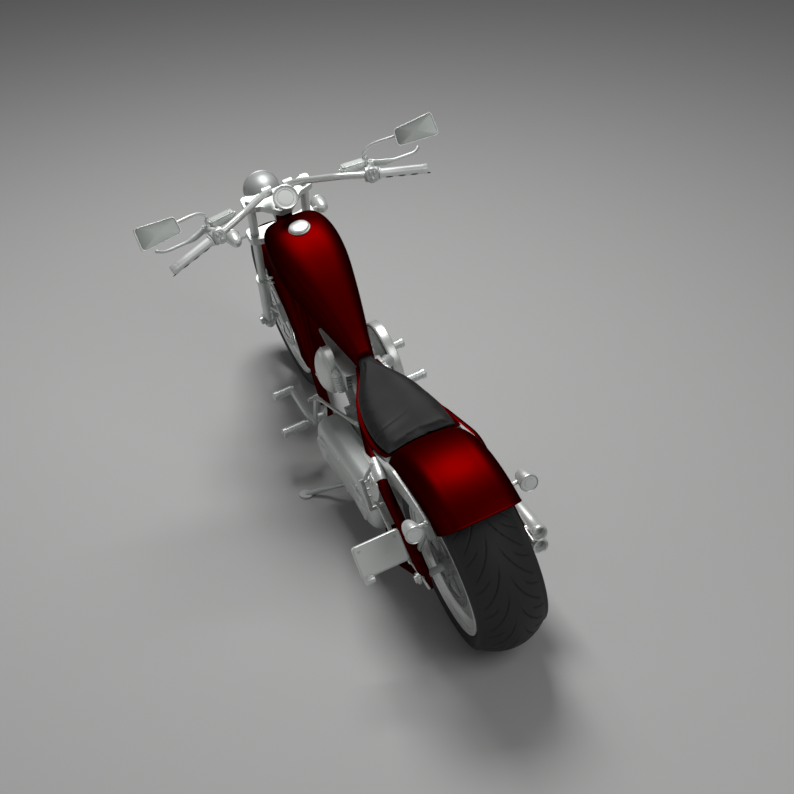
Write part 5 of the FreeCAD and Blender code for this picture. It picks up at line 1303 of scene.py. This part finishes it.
def peg(end, length, radius, ribs):
    """A peg that points to the left: a turned bar with a row of rounded ribs and a domed end cap."""
    core = radius * 0.92
    rows = [(-length, 0), (-length, radius * 0.72), (-length + 0.006, radius * 0.72), (-length + 0.008, core)]
    for place in np.linspace(-length + 0.014, -0.022, ribs):
        rows += [(place + along, high) for along, high in (
            (-0.0022, core), (-0.001, radius), (0.001, radius), (0.0022, core))]
    rows += [(-0.0165, core), (-0.016, radius + 0.0015), (-0.003, radius + 0.0015), (0.0, radius - 0.001),
             (0.001, radius * 0.6), (0.001, 0)]
    return revolve(end, Y, rows, 36)


foot_both = [
    peg(PEG_AT, 0.105, 0.0185, 11), peg(TOE_END, 0.084, 0.0170, 8),
    tube(at((1129, 150, 250), (1129, 175, 250), (1129, 199, 250)), at(11, 9, 9), 24),
    revolve(at(1129, 128, 250), Y, PEG_FLANGE, 40),
    revolve(at(1129, 162, 250), Y, PEG_PIVOT, 40),
    blade(at((1129, 132, 250), (1160, 118, 250), (1188, 106, 250)), Z, at(16, 15, 14), at(12, 11, 10), 24),
    blade(smooth_path(TOE_LEVER_LINE, 5), [0.7, 0, -0.7], 0.0165, 0.0110, 20, 0.6),
    screw(at(1129, 302, 250), Y, 0.008, 0.004),
]
left_only = [
    blade(SHIFT_ARM_LINE, [1, 0, 0.3], at(15, 13, 10), at(7, 6.5, 6), 20, 0.6),
    revolve(SHIFT_ARM_END, Y, ARM_PIN, 28),
    tube(np.stack([SHIFT_ARM_END, 0.5 * (SHIFT_ARM_END + ROD_EYE), ROD_END]), 0.0064, 16),
    ring(ROD_EYE, Y, 0.0078, 0.0032, 32),
    tube(SHIFT_ARM_END + rod_sleeve, 0.0082, 6),
    tube(ROD_EYE - rod_sleeve, 0.0082, 6),
]
foot_parts = both_sides(foot_both) + left_only
foot_castings = make_piece("foot_control_castings", "frame", SATIN, foot_parts)
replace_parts(foot_castings, "foot_controls")

# Number plate
# A blank plate in a chrome surround, on an arm from the left axle plate. Two screws hold it, and a small
# chromed lamp hangs under it.
PLATE_CENTRE = at(30, 287, 462)
PLATE_NORMAL = unit(np.array([-0.93, 0, 0.36]))
PLATE_UP = unit(np.array([0.36, 0, 0.93]))
PLATE_HALF_WIDTH = 0.082
PLATE_HALF_HEIGHT = 0.056
PLATE_SCREW_OUT = 0.060
PLATE_SCREW_UP = 0.036
PLATE_LAMP = at((-1, 0), (-1, 11), (1, 14.4), (4, 15), (28, 15), (31, 14.4), (33, 11), (33, 0))

plate_loop = loop_of([
    PLATE_CENTRE + a * PLATE_HALF_WIDTH * Y + b * PLATE_HALF_HEIGHT * PLATE_UP for a, b in SQUARE], 0.016, 8)
surround_at = PLATE_CENTRE + 0.0012 * PLATE_NORMAL
surround_line = drawn_in(plate_loop, PLATE_CENTRE, 0.96) + 0.0012 * PLATE_NORMAL
screw_at = PLATE_CENTRE + PLATE_SCREW_UP * PLATE_UP + 0.0002 * PLATE_NORMAL
make_piece("plate_surround", "frame", CHROME, [
    ring_of(surround_line, surround_at, PLATE_NORMAL, 0.0034),
    revolve(PLATE_CENTRE + at(0, 44, 0) - 0.064 * PLATE_UP, Y, PLATE_LAMP, 40),
    *(screw(screw_at + side * PLATE_SCREW_OUT * Y, PLATE_NORMAL, 0.0055, 0.0035) for side in (-1, 1))])

# Rear struts, brackets and axle adjusters
# Thick struts carry the fender and the signals. On the left the strut ends in a silver foot plate on a
# sleeve round the frame tube, where a bracket with cross bars hangs. Threaded rods set the axle's place.
STRUT_BOLTS = at((-92, 146, 604), (300, 146, 575), (392, 146, 560))
STRUT_HOLES = at((-20, 146.2, 604), (70, 146.2, 604))
FOOT_CORNERS = at((302, 187, 562), (310, 189, 533), (336, 194, 468), (319, 198, 431), (262, 194, 470),
                  (230, 189, 524), (228, 187, 558))
SLEEVE_LINE = at(
    (338, 155, 567.5), (310, 160.2, 566), (280, 165.5, 564), (262, 168.6, 561), (244, 171.4, 553))
FOOT_TIP_LINE = at((457, 153, 532), (410, 160, 560), (350, 168, 583), (306, 170, 586))
LADDER_TOP = at(416, 202, 459)
LADDER_FALL = at(-17, 0, -120)
LINK_LINE = at((318, 199, 436), (250, 199, 452), (214, 199, 418), (198, 199, 385))
ADJUSTER_NUT = at((-4, 0), (-4, 6), (-2, 8.5), (6, 8.5), (9, 6.5), (10, 0))

strut_bolts = [screw(place, Y, 0.009, 0.006) for place in STRUT_BOLTS]
strut_bolts += [ring(place, Y, 0.0062, 0.0018, 28) for place in STRUT_HOLES]
make_piece("strut_fittings", "frame", CHROME, both_sides(strut_bolts) + [
    slab(loop_of(FOOT_CORNERS, 0.010), at(0, 6, 0), 0.0018),
    tube(smooth_path(SLEEVE_LINE, 6), 0.0212, 28),
    blade(FOOT_TIP_LINE, [0.1, 0.75, 0.6], at(7, 11, 14, 14), 0.0035, 20, 0.6),
    screw(at(286, 197, 530), Y, 0.008, 0.005), screw(at(312, 200, 456), Y, 0.007, 0.005)])

ladder = [
    blade([LADDER_TOP, LADDER_TOP + LADDER_FALL], Y, 0.0085, 0.0032, 16, 0.6),
    blade(at((412, 180, 452), (394, 180, 388)), Y, 0.0050, 0.0032, 16, 0.6),
    tube(at((398, 208, 340), (398, 180, 340), (398, 152, 340)), 0.0072, 20),
    blade(at((414, 190, 455), (384, 180, 500), (345, 172, 545)), [0.2, 0.9, 0.2], 0.0070, 0.0032, 16, 0.6)]
for share in (0.12, 0.36, 0.6):
    rung = LADDER_TOP + share * LADDER_FALL
    ladder.append(tube(np.stack([rung, rung - at(0, 24, 0)]), 0.0034, 14))
for start, stop in zip(LINK_LINE[:-1], LINK_LINE[1:]):
    ladder += [blade([start, stop], Y, 0.0075, 0.0035, 16, 0.6), screw(stop + at(0, 4, 0), Y, 0.0060, 0.004)]
make_piece("ladder_bracket", "frame", CHROME, ladder)
make_piece("axle_adjusters", "frame", CHROME, both_sides([
    tube(at((69, 190, 340), (-4, 187, 334), (-66, 186, 328)), 0.0042, 14),
    revolve(at(72, 190, 340), at(73, 4, 6), ADJUSTER_NUT, 24)]))
